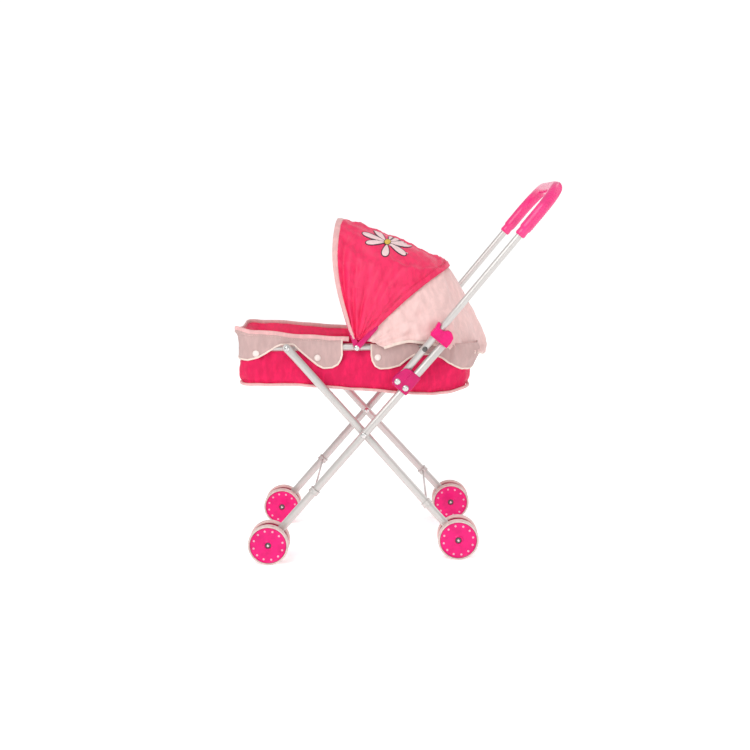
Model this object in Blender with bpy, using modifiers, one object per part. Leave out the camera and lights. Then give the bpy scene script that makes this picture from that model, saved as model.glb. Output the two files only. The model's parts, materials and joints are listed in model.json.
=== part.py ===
"""Folding doll stroller, in metres, +Z up.

The foot end points to -X, the push handle to +X, and the doll's left-hand side is at -Y.
The origin is on the floor, under the middle of the bounding box.
"""
import math

import bmesh
import bpy
from mathutils import Matrix, Vector

# ---- Driving dimensions -------------------------------------------------------------------

WHEELBASE_MID_X = -0.0647      # middle of the wheelbase, so that the bounding box is centred
GAP = 0.0003                   # clearance between touching pieces

WHEEL_X = 0.142                # half of the wheelbase
WHEEL_RADIUS = 0.0305
WHEEL_WIDTH = 0.012
WHEEL_GAP = 0.0132             # between the two wheels of a twin pair
RIM_THICKNESS = 0.003

LEG_Y = 0.1075                 # half of the track, also the plane of the handle's legs
LEG_RADIUS = 0.006
INNER_LEG_Y = 0.095            # the rear legs run inside the front legs
HANDLE_RADIUS = 0.00525
RAIL_RADIUS = 0.0055
RAIL_Y = 0.080
PIN_RADIUS = 0.002
BORE_RADIUS = 0.00235

# Pivots in the side view: (distance from the middle of the wheelbase, height).
CROSS = (0.0063, 0.1913)       # front leg to rear leg
TOE = (-0.1028, 0.3219)        # rear leg to bassinet rail
HEAD = (0.1001, 0.3169)        # bassinet rail to handle
FOLD = (0.0586, 0.2707)        # handle to fold bracket

FRONT_LEG_LENGTH = 0.409       # from the axle to the end inside the lock
TUBE_OVERHANG = 0.007          # tube beyond its last pivot
HANDLE_ANGLE = math.radians(48.6)
HANDLE_LENGTH = 0.365          # from the fold pivot to the crossbar
HANDLE_BEND = 0.050
GRIP_RADIUS = 0.009
GRIP_LEG = 0.090               # sleeve length along each leg, up to the crossbar

BRACKET_AT = 0.3215            # fold bracket's middle, along the front leg from the axle
BRACKET_LENGTH = 0.034
BRACKET_RIVET_AT = 0.3128      # its rivet through the front leg
CHEEK = 0.0016                 # wall of the bracket and of the lock
LOCK_AT = 0.083                # lock's lower edge, along the handle from the fold pivot

FRONT_BRACE_AT = 0.105         # along the leg from its axle
REAR_BRACE_AT = 0.070
BRACE_RADIUS = 0.0016

RAIL_SLOPE = math.radians(1.4)  # the bassinet's head end lies a little lower
RAIL_FRONT = -0.274            # from the head pivot, along the rail
RAIL_REAR = 0.063
RAIL_CORNER = 0.028
TUB_Y = 0.082
TUB_WALL = 0.002
TUB_DEPTH_FRONT = 0.054
TUB_DEPTH_REAR = 0.067
RIM_FRONT = 0.028              # cloth rim's height over the rail's axis at the foot end
RIM_REAR = 0.014               # and at the canopy's pivots
RIM_END = -0.112               # where the rim stops short of the pivots, along the rail

CANOPY_X = -0.100              # canopy pivot, along the rail from the head pivot
BOW_WIDTH = 0.007
BOW_THICKNESS = 0.0016
FRONT_BOW = {"crest": 98.0, "lean": 11.0, "radius": 0.188, "half_width": 0.0890, "round": 0.75}
MID_BOW = {"crest": 41.0, "lean": 6.0, "radius": 0.180, "half_width": 0.0870, "round": 0.75}
REAR_HEM = {"crest": -3.0, "lean": 8.0, "radius": 0.198, "half_width": 0.0905, "round": 0.48}
CLOTH_THICKNESS = 0.001
CLOTH_EASE = 0.0018            # the canopy cloth stands off its bows
CLOTH_PUFF = 0.004

SIDES = (("left", -1.0), ("right", 1.0))

# ---- Scene, materials and small helpers ---------------------------------------------------


def clear_scene():
    """Remove every object and collection of the open scene."""
    for old in list(bpy.data.objects):
        bpy.data.objects.remove(old, do_unlink=True)
    for old in list(bpy.data.collections):
        bpy.data.collections.remove(old)


def new_collection(name):
    """Make a collection under the scene."""
    made = bpy.data.collections.new(name)
    bpy.context.scene.collection.children.link(made)
    return made


clear_scene()
PARTS = new_collection("doll_stroller")
CUTTERS = new_collection("cutters")


def material(name, colour, roughness, metallic=0.0):
    """Make a Principled material."""
    made = bpy.data.materials.new(name)
    made.use_nodes = True
    shader = made.node_tree.nodes["Principled BSDF"]
    shader.inputs["Base Color"].default_value = (*colour, 1.0)
    shader.inputs["Roughness"].default_value = roughness
    shader.inputs["Metallic"].default_value = metallic
    return made


PAINTED_STEEL = material("painted_steel", (0.62, 0.60, 0.57), 0.35, 0.3)
CHROME = material("chrome", (0.75, 0.74, 0.73), 0.15, 1.0)
MAGENTA_PLASTIC = material("magenta_plastic", (0.80, 0.0, 0.20), 0.3)
GRIP_PLASTIC = material("grip_plastic", (0.90, 0.03, 0.25), 0.35)
RIM_PLASTIC = material("rim_plastic", (0.90, 0.62, 0.60), 0.4)
DARK_PLASTIC = material("dark_plastic", (0.05, 0.05, 0.06), 0.5)
MAGENTA_CLOTH = material("magenta_cloth", (0.80, 0.03, 0.12), 0.7)
PALE_CLOTH = material("pale_cloth", (0.90, 0.68, 0.66), 0.8)
CARD = material("card", (0.55, 0.45, 0.35), 0.9)


def side(place, y=0.0):
    """World point of a side-view place."""
    return Vector((WHEELBASE_MID_X + place[0], y, place[1]))


def along(start, end, distance):
    """Point at a distance from start towards end, in the side view or in space."""
    start = Vector(start)
    return start + (Vector(end) - start).normalized() * distance


def direction(angle):
    """Unit vector in the side view."""
    return Vector((math.cos(angle), math.sin(angle)))


def add_mesh(name, mesh, look, collection=None):
    """Put a mesh in an object of its own."""
    mesh.materials.clear()
    mesh.materials.append(look)
    made = bpy.data.objects.new(name, mesh)
    (collection or PARTS).objects.link(made)
    return made


def smooth(made, angle=40.0):
    """Shade round surfaces smooth and keep the edges sharp."""
    made.data.shade_smooth()
    made.data.set_sharp_from_angle(angle=math.radians(angle))
    return made


def from_bmesh(name, body, look, collection=None):
    """Turn a bmesh into an object."""
    mesh = bpy.data.meshes.new(name)
    body.to_mesh(mesh)
    body.free()
    return add_mesh(name, mesh, look, collection)


def evaluated(made):
    """Replace an object by the mesh that its modifiers or its curve make."""
    bpy.context.view_layer.update()
    graph = bpy.context.evaluated_depsgraph_get()
    mesh = bpy.data.meshes.new_from_object(made.evaluated_get(graph))
    body = bmesh.new()
    body.from_mesh(mesh)
    bmesh.ops.remove_doubles(body, verts=body.verts, dist=1e-6)
    body.to_mesh(mesh)
    body.free()
    name = made.name
    look = made.data.materials[0]
    place = made.matrix_world.copy()
    bpy.data.objects.remove(made, do_unlink=True)
    solid = add_mesh(name, mesh, look)
    solid.name = name
    solid.matrix_world = place
    return solid


def tube(name, points, radius, look, sides=12, closed=False, caps=True):
    """A round tube through points."""
    curve = bpy.data.curves.new(name, "CURVE")
    curve.dimensions = "3D"
    curve.bevel_depth = radius
    curve.bevel_resolution = sides // 2 - 2
    curve.resolution_u = 1
    curve.render_resolution_u = 0
    curve.use_fill_caps = caps
    spline = curve.splines.new("POLY")
    spline.points.add(len(points) - 1)
    for knot, point in zip(spline.points, points):
        knot.co = (*point, 1.0)
    spline.use_cyclic_u = closed
    curve.materials.append(look)
    made = bpy.data.objects.new(name, curve)
    PARTS.objects.link(made)
    return made


def solid_tube(name, points, radius, look, sides=12, closed=False):
    """A round tube through points, as a mesh that can be drilled."""
    made = evaluated(tube(name, points, radius, look, sides, closed))
    return smooth(made)


def turned(name, profile, look, at, outward=1.0, steps=16):
    """A solid turned about Y. The profile is (radius, height) down its outer side.

    Heights grow away from the doll: towards +Y for outward 1 and towards -Y for outward -1.
    """
    ring = profile[0][0] > 0.0
    body = bmesh.new()
    verts = [body.verts.new((radius, 0.0, height)) for radius, height in profile]
    for first, second in zip(verts, verts[1:]):
        body.edges.new((first, second))
    if ring:
        body.edges.new((verts[-1], verts[0]))
    made = from_bmesh(name, body, look)
    screw = made.modifiers.new("turn", "SCREW")
    screw.steps = steps
    screw.render_steps = steps
    screw.use_merge_vertices = True
    screw.merge_threshold = 1e-6
    made.rotation_euler = (-outward * math.pi / 2, 0.0, 0.0)
    made.location = at
    return made


def drill(made, at, half_length=0.02, radius=BORE_RADIUS):
    """Bore a hole along Y."""
    body = bmesh.new()
    bmesh.ops.create_cone(body, cap_ends=True, segments=16, radius1=radius, radius2=radius,
                          depth=2 * half_length)
    cutter = from_bmesh(made.name + "_bore", body, DARK_PLASTIC, CUTTERS)
    cutter.rotation_euler = (math.pi / 2, 0.0, 0.0)
    cutter.location = at
    subtract(made, cutter)


def subtract(made, cutter):
    """Cut one solid out of another."""
    cutter.hide_render = True
    cutter.display_type = "WIRE"
    cut = made.modifiers.new("cut", "BOOLEAN")
    cut.operation = "DIFFERENCE"
    cut.object = cutter


def box(name, low, high, look, collection=None):
    """A block between two corners."""
    body = bmesh.new()
    bmesh.ops.create_cube(body, size=1.0)
    low = Vector(low)
    size = Vector(high) - low
    for vert in body.verts:
        vert.co = low + Vector((vert.co[i] + 0.5) * size[i] for i in range(3))
    return from_bmesh(name, body, look, collection)


def bevel(made, width, segments=2):
    """Round a block's edges."""
    edge = made.modifiers.new("round", "BEVEL")
    edge.width = width
    edge.segments = segments
    return made


def empty(name, at, slope=0.0):
    """A parent that holds one moving group on its pivot."""
    made = bpy.data.objects.new(name, None)
    made.location = at
    made.rotation_euler = (0.0, slope, 0.0)
    PARTS.objects.link(made)
    bpy.context.view_layer.update()
    return made


def attach(made, parent, keep=False):
    """Parent an object; keep=True leaves it where it is in the world."""
    made.parent = parent
    if keep:
        made.matrix_parent_inverse = parent.matrix_world.inverted()
    return made


def rounded_rectangle(low_x, high_x, half_y, corner, steps=6):
    """Corner points of a rectangle with round corners, in order."""
    points = []
    centres = ((high_x - corner, half_y - corner), (low_x + corner, half_y - corner),
               (low_x + corner, corner - half_y), (high_x - corner, corner - half_y))
    for quarter, (x, y) in enumerate(centres):
        for step in range(steps + 1):
            turn = math.pi / 2 * (quarter + step / steps)
            points.append((x + corner * math.cos(turn), y + corner * math.sin(turn)))
    return points


# ---- Frame: legs, braces and their rivets -------------------------------------------------

FRONT_AXLE = (-WHEEL_X, WHEEL_RADIUS)
REAR_AXLE = (WHEEL_X, WHEEL_RADIUS)
FRONT_AXIS = (Vector(CROSS) - Vector(FRONT_AXLE)).normalized()
FRONT_ANGLE = math.atan2(FRONT_AXIS.y, FRONT_AXIS.x)
BRACKET_RIVET = along(FRONT_AXLE, CROSS, BRACKET_RIVET_AT)


def front_leg(name, sign):
    """Straight tube from the front axle to the lock."""
    y = sign * LEG_Y
    start = side(along(FRONT_AXLE, CROSS, -TUBE_OVERHANG), y)
    end = side(along(FRONT_AXLE, CROSS, FRONT_LEG_LENGTH), y)
    made = solid_tube("front_leg_" + name, (start, end), LEG_RADIUS, PAINTED_STEEL)
    for place in (FRONT_AXLE, CROSS, BRACKET_RIVET):
        drill(made, side(place, y))
    return made


def rear_leg_path(sign):
    """Path of the rear leg, which bends outwards under the crossing to stand on the track."""
    straight_end = side(along(CROSS, REAR_AXLE, 0.010), sign * INNER_LEG_Y)
    foot_start = side(along(REAR_AXLE, CROSS, 0.045), sign * LEG_Y)
    return (side(along(TOE, CROSS, -TUBE_OVERHANG), sign * INNER_LEG_Y), straight_end, foot_start,
            side(along(REAR_AXLE, CROSS, -TUBE_OVERHANG), sign * LEG_Y))


def rear_leg(name, sign, parent):
    """Tube from the bassinet rail, past the crossing, to the rear axle."""
    made = solid_tube("rear_leg_" + name, rear_leg_path(sign), LEG_RADIUS, PAINTED_STEEL)
    drill(made, side(TOE, sign * INNER_LEG_Y))
    drill(made, side(CROSS, sign * INNER_LEG_Y))
    drill(made, side(REAR_AXLE, sign * LEG_Y))
    return attach(made, parent, keep=True)


def rivet(name, place, start_y, end_y, sign, look=CHROME, head=0.0042):
    """A round-headed rivet through bores, from start_y out to end_y."""
    shank = end_y - start_y
    profile = ((0.0, 0.0014), (head * 0.6, 0.0011), (head, 0.0), (head, -GAP / 2),
               (PIN_RADIUS, -GAP / 2), (PIN_RADIUS, -shank), (0.0, -shank))
    return turned(name, profile, look, side(place, sign * (end_y + GAP)), sign)


def brace(name, place, half_length, parent=None):
    """Thin rod across two legs."""
    ends = (side(place, -half_length), side(place, half_length))
    made = solid_tube(name, ends, BRACE_RADIUS, PAINTED_STEEL, sides=8)
    return attach(made, parent, keep=True) if parent else made


def brace_clip(name, start, end, distance, parent=None):
    """Plastic collar round a leg that holds the end of a brace."""
    centre = along(start, end, distance)
    inner = LEG_RADIUS + GAP
    profile = ((inner + 0.0018, 0.004), (inner + 0.0018, -0.004), (inner, -0.004), (inner, 0.004))
    made = turned(name, profile, DARK_PLASTIC, centre, steps=12)
    axis = (Vector(end) - Vector(start)).normalized()
    made.rotation_euler = Vector((0.0, 0.0, 1.0)).rotation_difference(axis).to_euler()
    return attach(made, parent, keep=True) if parent else made


# ---- Wheels -------------------------------------------------------------------------------


def wheel(name, axle, sign, outer, parent):
    """One wheel of a twin pair: a thin rim round a dished disc, turning about its axle."""
    facing = sign if outer else -sign
    centre_y = sign * LEG_Y + facing * (WHEEL_GAP + WHEEL_WIDTH) / 2
    hub = empty(name + "_hub", side(axle, centre_y))
    half = WHEEL_WIDTH / 2
    inner = WHEEL_RADIUS - RIM_THICKNESS
    rim_profile = ((WHEEL_RADIUS - 0.0012, half), (WHEEL_RADIUS, half - 0.0015),
                   (WHEEL_RADIUS, -half + 0.0015), (WHEEL_RADIUS - 0.0012, -half),
                   (inner, -half), (inner, half))
    rim = turned(name + "_rim", rim_profile, RIM_PLASTIC, (0.0, 0.0, 0.0), facing, steps=24)
    edge = inner - GAP
    disc_profile = ((0.007, half - 0.0002), (edge - 0.002, half - 0.0016), (edge, half - 0.0024),
                    (edge, half - 0.0044), (0.006, half - 0.0036), (0.005, -half),
                    (BORE_RADIUS, -half), (BORE_RADIUS, half - 0.0002))
    disc = turned(name + "_disc", disc_profile, MAGENTA_PLASTIC, (0.0, 0.0, 0.0), facing, steps=24)
    attach(rim, hub)
    attach(disc, hub)
    if parent:
        attach(hub, parent, keep=True)


def axle_pin(name, axle, sign):
    """Steel pin through both wheels and the leg, with a nut face at each end."""
    reach = WHEEL_GAP / 2 + WHEEL_WIDTH + GAP
    profile = ((0.0, reach + 0.0022), (0.0032, reach + 0.0018), (0.0042, reach), (PIN_RADIUS, reach),
               (PIN_RADIUS, -reach), (0.0042, -reach), (0.0032, -reach - 0.0018),
               (0.0, -reach - 0.0022))
    return turned(name, profile, CHROME, side(axle, sign * LEG_Y), sign)


def wheel_pair(end, name, sign, axle, parent=None):
    """Twin wheels and their axle."""
    pin = axle_pin("axle_%s_%s" % (end, name), axle, sign)
    if parent:
        attach(pin, parent, keep=True)
    for where, outer in (("outer", True), ("inner", False)):
        wheel("wheel_%s_%s_%s" % (end, name, where), axle, sign, outer, parent)


# ---- Fold bracket and sliding lock --------------------------------------------------------


def lay_along(made, place, y, angle):
    """Place a solid modelled along +X so that it runs along a tube."""
    made.location = side(place, y)
    made.rotation_euler = (0.0, -angle, 0.0)
    return made


def plate(name, outline, half_y, look, collection=None):
    """A side-view outline, given along and across a tube, made as thick as the tube's plane."""
    body = bmesh.new()
    face = body.faces.new([body.verts.new((x, -half_y, z)) for x, z in outline])
    far = bmesh.ops.extrude_face_region(body, geom=[face])
    for part in far["geom"]:
        if isinstance(part, bmesh.types.BMVert):
            part.co.y = half_y
    bmesh.ops.recalc_face_normals(body, faces=body.faces)
    return from_bmesh(name, body, look, collection)


def fold_bracket(name, sign):
    """Moulded channel round the front leg; the handle swings out of its open side."""
    half_y = LEG_RADIUS + GAP + CHEEK
    back = -(LEG_RADIUS + GAP + CHEEK)
    end = BRACKET_LENGTH / 2
    outline = ((-end, back), (end, back), (end, 0.012), (end - 0.004, 0.0205), (-0.008, 0.0235),
               (-end + 0.003, 0.022), (-end, 0.014))
    made = plate("fold_bracket_" + name, outline, half_y, MAGENTA_PLASTIC)
    centre = along(FRONT_AXLE, CROSS, BRACKET_AT)
    lay_along(made, centre, sign * LEG_Y, FRONT_ANGLE)
    bevel(made, 0.001, 1)
    inside = half_y - CHEEK
    slot = box(made.name + "_slot", (-0.03, -inside, back + CHEEK), (0.03, inside, 0.03), DARK_PLASTIC,
               CUTTERS)
    lay_along(slot, centre, sign * LEG_Y, FRONT_ANGLE)
    subtract(made, slot)
    drill(made, side(FOLD, sign * LEG_Y))
    drill(made, side(BRACKET_RIVET, sign * LEG_Y))
    return made


def lock_slider(name, sign, parent):
    """Moulded block that slides along the handle; its open slot drops over the front leg."""
    half_y = LEG_RADIUS + GAP + CHEEK
    outline = ((0.0, -0.024), (0.010, -0.024), (0.018, -0.0225), (0.0225, -0.016), (0.0215, -0.009),
               (0.017, -0.005), (0.017, 0.003), (0.023, 0.0055), (0.0225, 0.0100), (0.013, 0.0080),
               (0.0, 0.0075))
    made = plate("lock_slider_" + name, outline, half_y, MAGENTA_PLASTIC)
    start = Vector(FOLD) + direction(HANDLE_ANGLE) * LOCK_AT
    lay_along(made, start, sign * LEG_Y, HANDLE_ANGLE)
    bevel(made, 0.001, 1)
    inside = half_y - CHEEK
    slot = box(made.name + "_slot", (-0.01, -inside, -0.03), (0.04, inside, -0.0095), DARK_PLASTIC,
               CUTTERS)
    lay_along(slot, start, sign * LEG_Y, HANDLE_ANGLE)
    subtract(made, slot)
    body = bmesh.new()
    radius = HANDLE_RADIUS + 0.0005
    bmesh.ops.create_cone(body, cap_ends=True, segments=16, radius1=radius, radius2=radius, depth=0.08)
    bmesh.ops.rotate(body, verts=body.verts, matrix=Matrix.Rotation(math.pi / 2, 3, "Y"))
    bore = from_bmesh(made.name + "_bore", body, DARK_PLASTIC, CUTTERS)
    lay_along(bore, start, sign * LEG_Y, HANDLE_ANGLE)
    subtract(made, bore)
    return attach(made, parent, keep=True)


# ---- Handle -------------------------------------------------------------------------------


def handle_path(start, bend_steps=6):
    """U path in the handle's plane: up one leg, round two bends and down the other."""
    up = direction(HANDLE_ANGLE)
    flat = [(start, -LEG_Y)]
    for step in range(bend_steps + 1):
        turn = math.pi / 2 * step / bend_steps
        flat.append((HANDLE_LENGTH - HANDLE_BEND * (1 - math.sin(turn)),
                     -LEG_Y + HANDLE_BEND * (1 - math.cos(turn))))
    flat += [(distance, -y) for distance, y in reversed(flat)]
    return [side(Vector(FOLD) + up * distance, y) for distance, y in flat]


def handle_tube(parent):
    """The push handle's U-shaped tube."""
    made = solid_tube("handle_tube", handle_path(-0.0065), HANDLE_RADIUS, PAINTED_STEEL)
    for _, sign in SIDES:
        drill(made, side(FOLD, sign * LEG_Y))
        drill(made, side(HEAD, sign * LEG_Y))
    return attach(made, parent, keep=True)


def grip_sleeve(parent):
    """Hollow moulded sleeve over the top of the handle."""
    made = tube("grip", handle_path(HANDLE_LENGTH - GRIP_LEG), GRIP_RADIUS, GRIP_PLASTIC, sides=12,
                caps=False)
    made = smooth(evaluated(made))
    shell = made.modifiers.new("wall", "SOLIDIFY")
    shell.thickness = GRIP_RADIUS - HANDLE_RADIUS - GAP
    shell.offset = -1.0
    shell.use_even_offset = True
    return attach(made, parent, keep=True)


def handle_bush(name, sign, parent):
    """Rivet through the handle with a spacer collar that carries the bassinet rail."""
    outside = LEG_Y + HANDLE_RADIUS + GAP
    collar_out = LEG_Y - HANDLE_RADIUS - GAP
    collar_in = RAIL_Y + RAIL_RADIUS + GAP
    end = RAIL_Y - RAIL_RADIUS + 0.001
    profile = ((0.0, 0.0014), (0.0025, 0.0011), (0.0042, 0.0), (PIN_RADIUS, 0.0),
               (PIN_RADIUS, collar_out - outside), (0.0040, collar_out - outside),
               (0.0040, collar_in - outside), (PIN_RADIUS, collar_in - outside),
               (PIN_RADIUS, end - outside), (0.0, end - outside))
    made = turned("handle_bush_" + name, profile, DARK_PLASTIC, side(HEAD, sign * outside), sign)
    return attach(made, parent, keep=True)


# ---- Bassinet, in the rail's own frame with its origin at the head pivot -------------------


def bassinet_rail(parent):
    """Closed tube that carries the tub."""
    flat = rounded_rectangle(RAIL_FRONT, RAIL_REAR, RAIL_Y, RAIL_CORNER)
    made = solid_tube("bassinet_rail", [(x, y, 0.0) for x, y in flat], RAIL_RADIUS, PAINTED_STEEL,
                      sides=10, closed=True)
    for _, sign in SIDES:
        for x in (0.0, CANOPY_X):
            bore_at = Vector((x, sign * RAIL_Y, 0.0))
            drill_local(made, bore_at, parent)
    return attach(made, parent)


def drill_local(made, at, parent):
    """Bore along Y at a place given in the parent's frame."""
    drill(made, at)
    cutter = made.modifiers[-1].object
    attach(cutter, parent)


def floor_height(x):
    """Outside of the tub's floor, which deepens towards the head end."""
    share = (x - RAIL_FRONT) / (RAIL_REAR - RAIL_FRONT)
    return -(TUB_DEPTH_FRONT + share * (TUB_DEPTH_REAR - TUB_DEPTH_FRONT))


def tub(parent):
    """Cloth tub under the rail: a floor and a wall all round, open above."""
    flat = rounded_rectangle(RAIL_FRONT - 0.002, RAIL_REAR + 0.002, TUB_Y, RAIL_CORNER, steps=4)
    body = bmesh.new()
    floor = body.faces.new([body.verts.new((x, y, floor_height(x))) for x, y in flat])
    rise = bmesh.ops.extrude_edge_only(body, edges=list(floor.edges))
    for part in rise["geom"]:
        if isinstance(part, bmesh.types.BMVert):
            part.co.z = -(RAIL_RADIUS + 2 * GAP)
    bmesh.ops.recalc_face_normals(body, faces=body.faces)
    made = from_bmesh("tub", body, MAGENTA_CLOTH)
    shell = made.modifiers.new("cloth", "SOLIDIFY")
    shell.thickness = TUB_WALL
    shell.offset = -1.0
    shell.use_even_offset = True
    return attach(made, parent)


def base_board(parent):
    """Stiff card that keeps the floor of the tub flat."""
    margin = TUB_WALL + 0.003
    flat = rounded_rectangle(RAIL_FRONT + margin, RAIL_REAR - margin, TUB_Y - margin, RAIL_CORNER - 0.003)
    body = bmesh.new()
    lift = TUB_WALL + 2 * GAP
    face = body.faces.new([body.verts.new((x, y, floor_height(x) + lift)) for x, y in flat])
    top = bmesh.ops.extrude_face_region(body, geom=[face])
    for part in top["geom"]:
        if isinstance(part, bmesh.types.BMVert):
            part.co.z += 0.002
    bmesh.ops.recalc_face_normals(body, faces=body.faces)
    return attach(from_bmesh("base_board", body, CARD), parent)


def rim_height(x):
    """Height of the cloth rim over the rail's axis, which grows towards the foot end."""
    share = (x - RIM_END) / (RAIL_FRONT - RIM_END)
    return RIM_REAR + share * (RIM_FRONT - RIM_REAR)


def rim_band(parent):
    """Cloth rim that stands on the rail, from one canopy pivot round the foot end to the other."""
    loop = rounded_rectangle(RAIL_FRONT, RAIL_REAR, RAIL_Y, RAIL_CORNER)
    foot = [(x, y) for x, y in loop if x < RAIL_FRONT + RAIL_CORNER + GAP]
    path = [(RIM_END, RAIL_Y)] + foot + [(RIM_END, -RAIL_Y)]
    body = bmesh.new()
    low = [body.verts.new((x, y, RAIL_RADIUS + GAP)) for x, y in path]
    high = [body.verts.new((x, y, rim_height(x))) for x, y in path]
    for k in range(len(path) - 1):
        body.faces.new((low[k], low[k + 1], high[k + 1], high[k]))
    made = from_bmesh("rim_band", body, PALE_CLOTH)
    shell = made.modifiers.new("cloth", "SOLIDIFY")
    shell.thickness = CLOTH_THICKNESS
    shell.offset = 0.0
    return attach(made, parent)


def flap(name, outline, sign, parent):
    """A flat cloth flap hanging outside the rail."""
    inner = sign * (RAIL_Y + RAIL_RADIUS + 0.0008)
    body = bmesh.new()
    face = body.faces.new([body.verts.new((x, inner, z)) for x, z in outline])
    out = bmesh.ops.extrude_face_region(body, geom=[face])
    for part in out["geom"]:
        if isinstance(part, bmesh.types.BMVert):
            part.co.y += sign * CLOTH_THICKNESS
    bmesh.ops.triangulate(body, faces=body.faces)
    bmesh.ops.recalc_face_normals(body, faces=body.faces)
    return attach(from_bmesh(name, body, PALE_CLOTH), parent)


def front_flap(name, sign, parent):
    """Flap at the foot end: two lobes, with the toe rivet in the notch between them."""
    outline = ((-0.277, RIM_FRONT), (-0.277, -0.012), (-0.272, -0.0175), (-0.260, -0.018), (-0.248, -0.014),
               (-0.236, -0.0075), (-0.222, 0.0015), (-0.213, 0.0055), (-0.194, 0.0055),
               (-0.186, -0.003), (-0.171, -0.016), (-0.159, -0.026), (-0.150, -0.0305),
               (-0.137, -0.029), (-0.128, -0.020), (-0.124, -0.007), (-0.123, RIM_REAR))
    return flap("front_flap_" + name, outline, sign, parent)


def rear_flap(name, sign, parent):
    """Flap under the canopy: two lobes joined by a strip that passes under the handle bush."""
    outline = ((-0.079, -0.0046), (-0.078, -0.017), (-0.074, -0.027), (-0.067, -0.032),
               (-0.052, -0.031), (-0.037, -0.027), (-0.025, -0.0175), (-0.014, -0.010), (0.014, -0.010),
               (0.027, -0.0165), (0.040, -0.026), (0.050, -0.031), (0.060, -0.031),
               (0.064, -0.022), (0.064, -0.0046))
    return flap("rear_flap_" + name, outline, sign, parent)


# ---- Canopy -------------------------------------------------------------------------------


def arch(shape, t, grow=0.0):
    """Point of an arch over the bassinet; t runs from 0 at the left pivot to 1 at the right.

    Low down the arch leans forward of its crest by shape["lean"] degrees. Its corners are
    elliptical where shape["round"] is 1, and squarer where it is less.
    """
    turn = math.pi * t
    across = math.copysign(abs(math.cos(turn)) ** shape["round"], -math.cos(turn))
    share = math.sin(turn) ** shape["round"] if 0.0 < t < 1.0 else 0.0
    radius = share * (shape["radius"] + grow)
    angle = math.radians(shape["crest"] + shape["lean"] * (1 - share * share))
    return Vector((radius * math.cos(angle), across * (shape["half_width"] + grow),
                   radius * math.sin(angle)))


def ribbon(name, path, ways, normals, widths, thickness, look):
    """A flat band along a path, closed at both ends."""
    body = bmesh.new()
    rings = []
    for point, way, normal, width in zip(path, ways, normals, widths):
        corners = []
        for a, b in ((-1, -1), (1, -1), (1, 1), (-1, 1)):
            corners.append(body.verts.new(point + way * a * width / 2 + normal * b * thickness / 2))
        rings.append(corners)
    for first, second in zip(rings, rings[1:]):
        for k in range(4):
            body.faces.new((first[k], first[(k + 1) % 4], second[(k + 1) % 4], second[k]))
    body.faces.new(rings[0])
    body.faces.new(rings[-1])
    bmesh.ops.recalc_face_normals(body, faces=body.faces)
    return from_bmesh(name, body, look)


def bow(name, shape, parent, steps=32):
    """Flat plastic bow, hinged on both sides of the rail and narrower over the crest."""
    path = [arch(shape, step / steps) for step in range(steps + 1)]
    ears = math.radians(shape["crest"] + shape["lean"])
    ear = Vector((math.cos(ears), 0.0, math.sin(ears))) * 0.0045
    path = [path[0] - ear] + path + [path[-1] - ear]
    ways = []
    normals = []
    widths = []
    for index, point in enumerate(path):
        before = path[max(index - 1, 0)]
        after = path[min(index + 1, len(path) - 1)]
        run = (after - before).normalized()
        share = min(Vector((point.x, point.z)).length / shape["radius"], 1.0)
        angle = math.radians(shape["crest"] + shape["lean"] * (1 - share * share))
        way = Vector((-math.sin(angle), 0.0, math.cos(angle)))
        normal = run.cross(way).normalized()
        ways.append(normal.cross(run).normalized())
        normals.append(normal)
        widths.append(BOW_WIDTH * (1 - 0.45 * share * share))
    made = ribbon(name, path, ways, normals, widths, BOW_THICKNESS, MAGENTA_PLASTIC)
    attach(made, parent)
    drill_local(made, Vector((0.0, 0.0, 0.0)), parent)
    made.modifiers[-1].object.scale = (1.0, 1.0, 10.0)
    return made


def turned_shape(shape, degrees):
    """The same arch, folded forward by an angle."""
    return {**shape, "crest": shape["crest"] + degrees}


def canopy_panel(name, shapes, look, parent, t_start=0.045, rows=4, columns=24):
    """Cloth stretched straight between the two middle arches, as a thin shell outside the bows."""
    grow = BOW_THICKNESS / 2 + CLOTH_EASE
    stations = [t_start + (1 - 2 * t_start) * column / columns for column in range(columns + 1)]
    rings = []
    for shape in shapes:
        wide = {**shape, "half_width": max(shape["half_width"], FRONT_BOW["half_width"])}
        rings.append([arch(wide, t, grow) for t in stations])
    low, high = rings[-3], rings[-2]
    grid = rings[:-2]
    for row in range(1, rows):
        share = row / rows
        puff = CLOTH_PUFF * math.sin(math.pi * share)
        line = [a.lerp(b, share) for a, b in zip(low, high)]
        grid.append([point + point.normalized() * puff for point in line])
    grid += rings[-2:]
    body = bmesh.new()
    grid = [[body.verts.new(point) for point in line] for line in grid]
    for first, second in zip(grid, grid[1:]):
        for k in range(columns):
            body.faces.new((first[k], first[k + 1], second[k + 1], second[k]))
    bmesh.ops.recalc_face_normals(body, faces=body.faces)
    made = from_bmesh(name, body, look)
    shell = made.modifiers.new("cloth", "SOLIDIFY")
    shell.thickness = CLOTH_THICKNESS
    shell.offset = 1.0
    return attach(made, parent)


def canopy_rivet(name, sign, parent):
    """Rivet through both bows into the rail."""
    head = FRONT_BOW["half_width"] + BOW_THICKNESS / 2 + GAP
    depth = head - (RAIL_Y - RAIL_RADIUS + 0.001)
    profile = ((0.0, 0.0012), (0.0025, 0.001), (0.0040, 0.0), (PIN_RADIUS, 0.0), (PIN_RADIUS, -depth),
               (0.0, -depth))
    made = turned("canopy_rivet_" + name, profile, CHROME, (CANOPY_X, sign * head, 0.0), sign)
    return attach(made, parent)


# ---- Assembly -----------------------------------------------------------------------------


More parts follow.
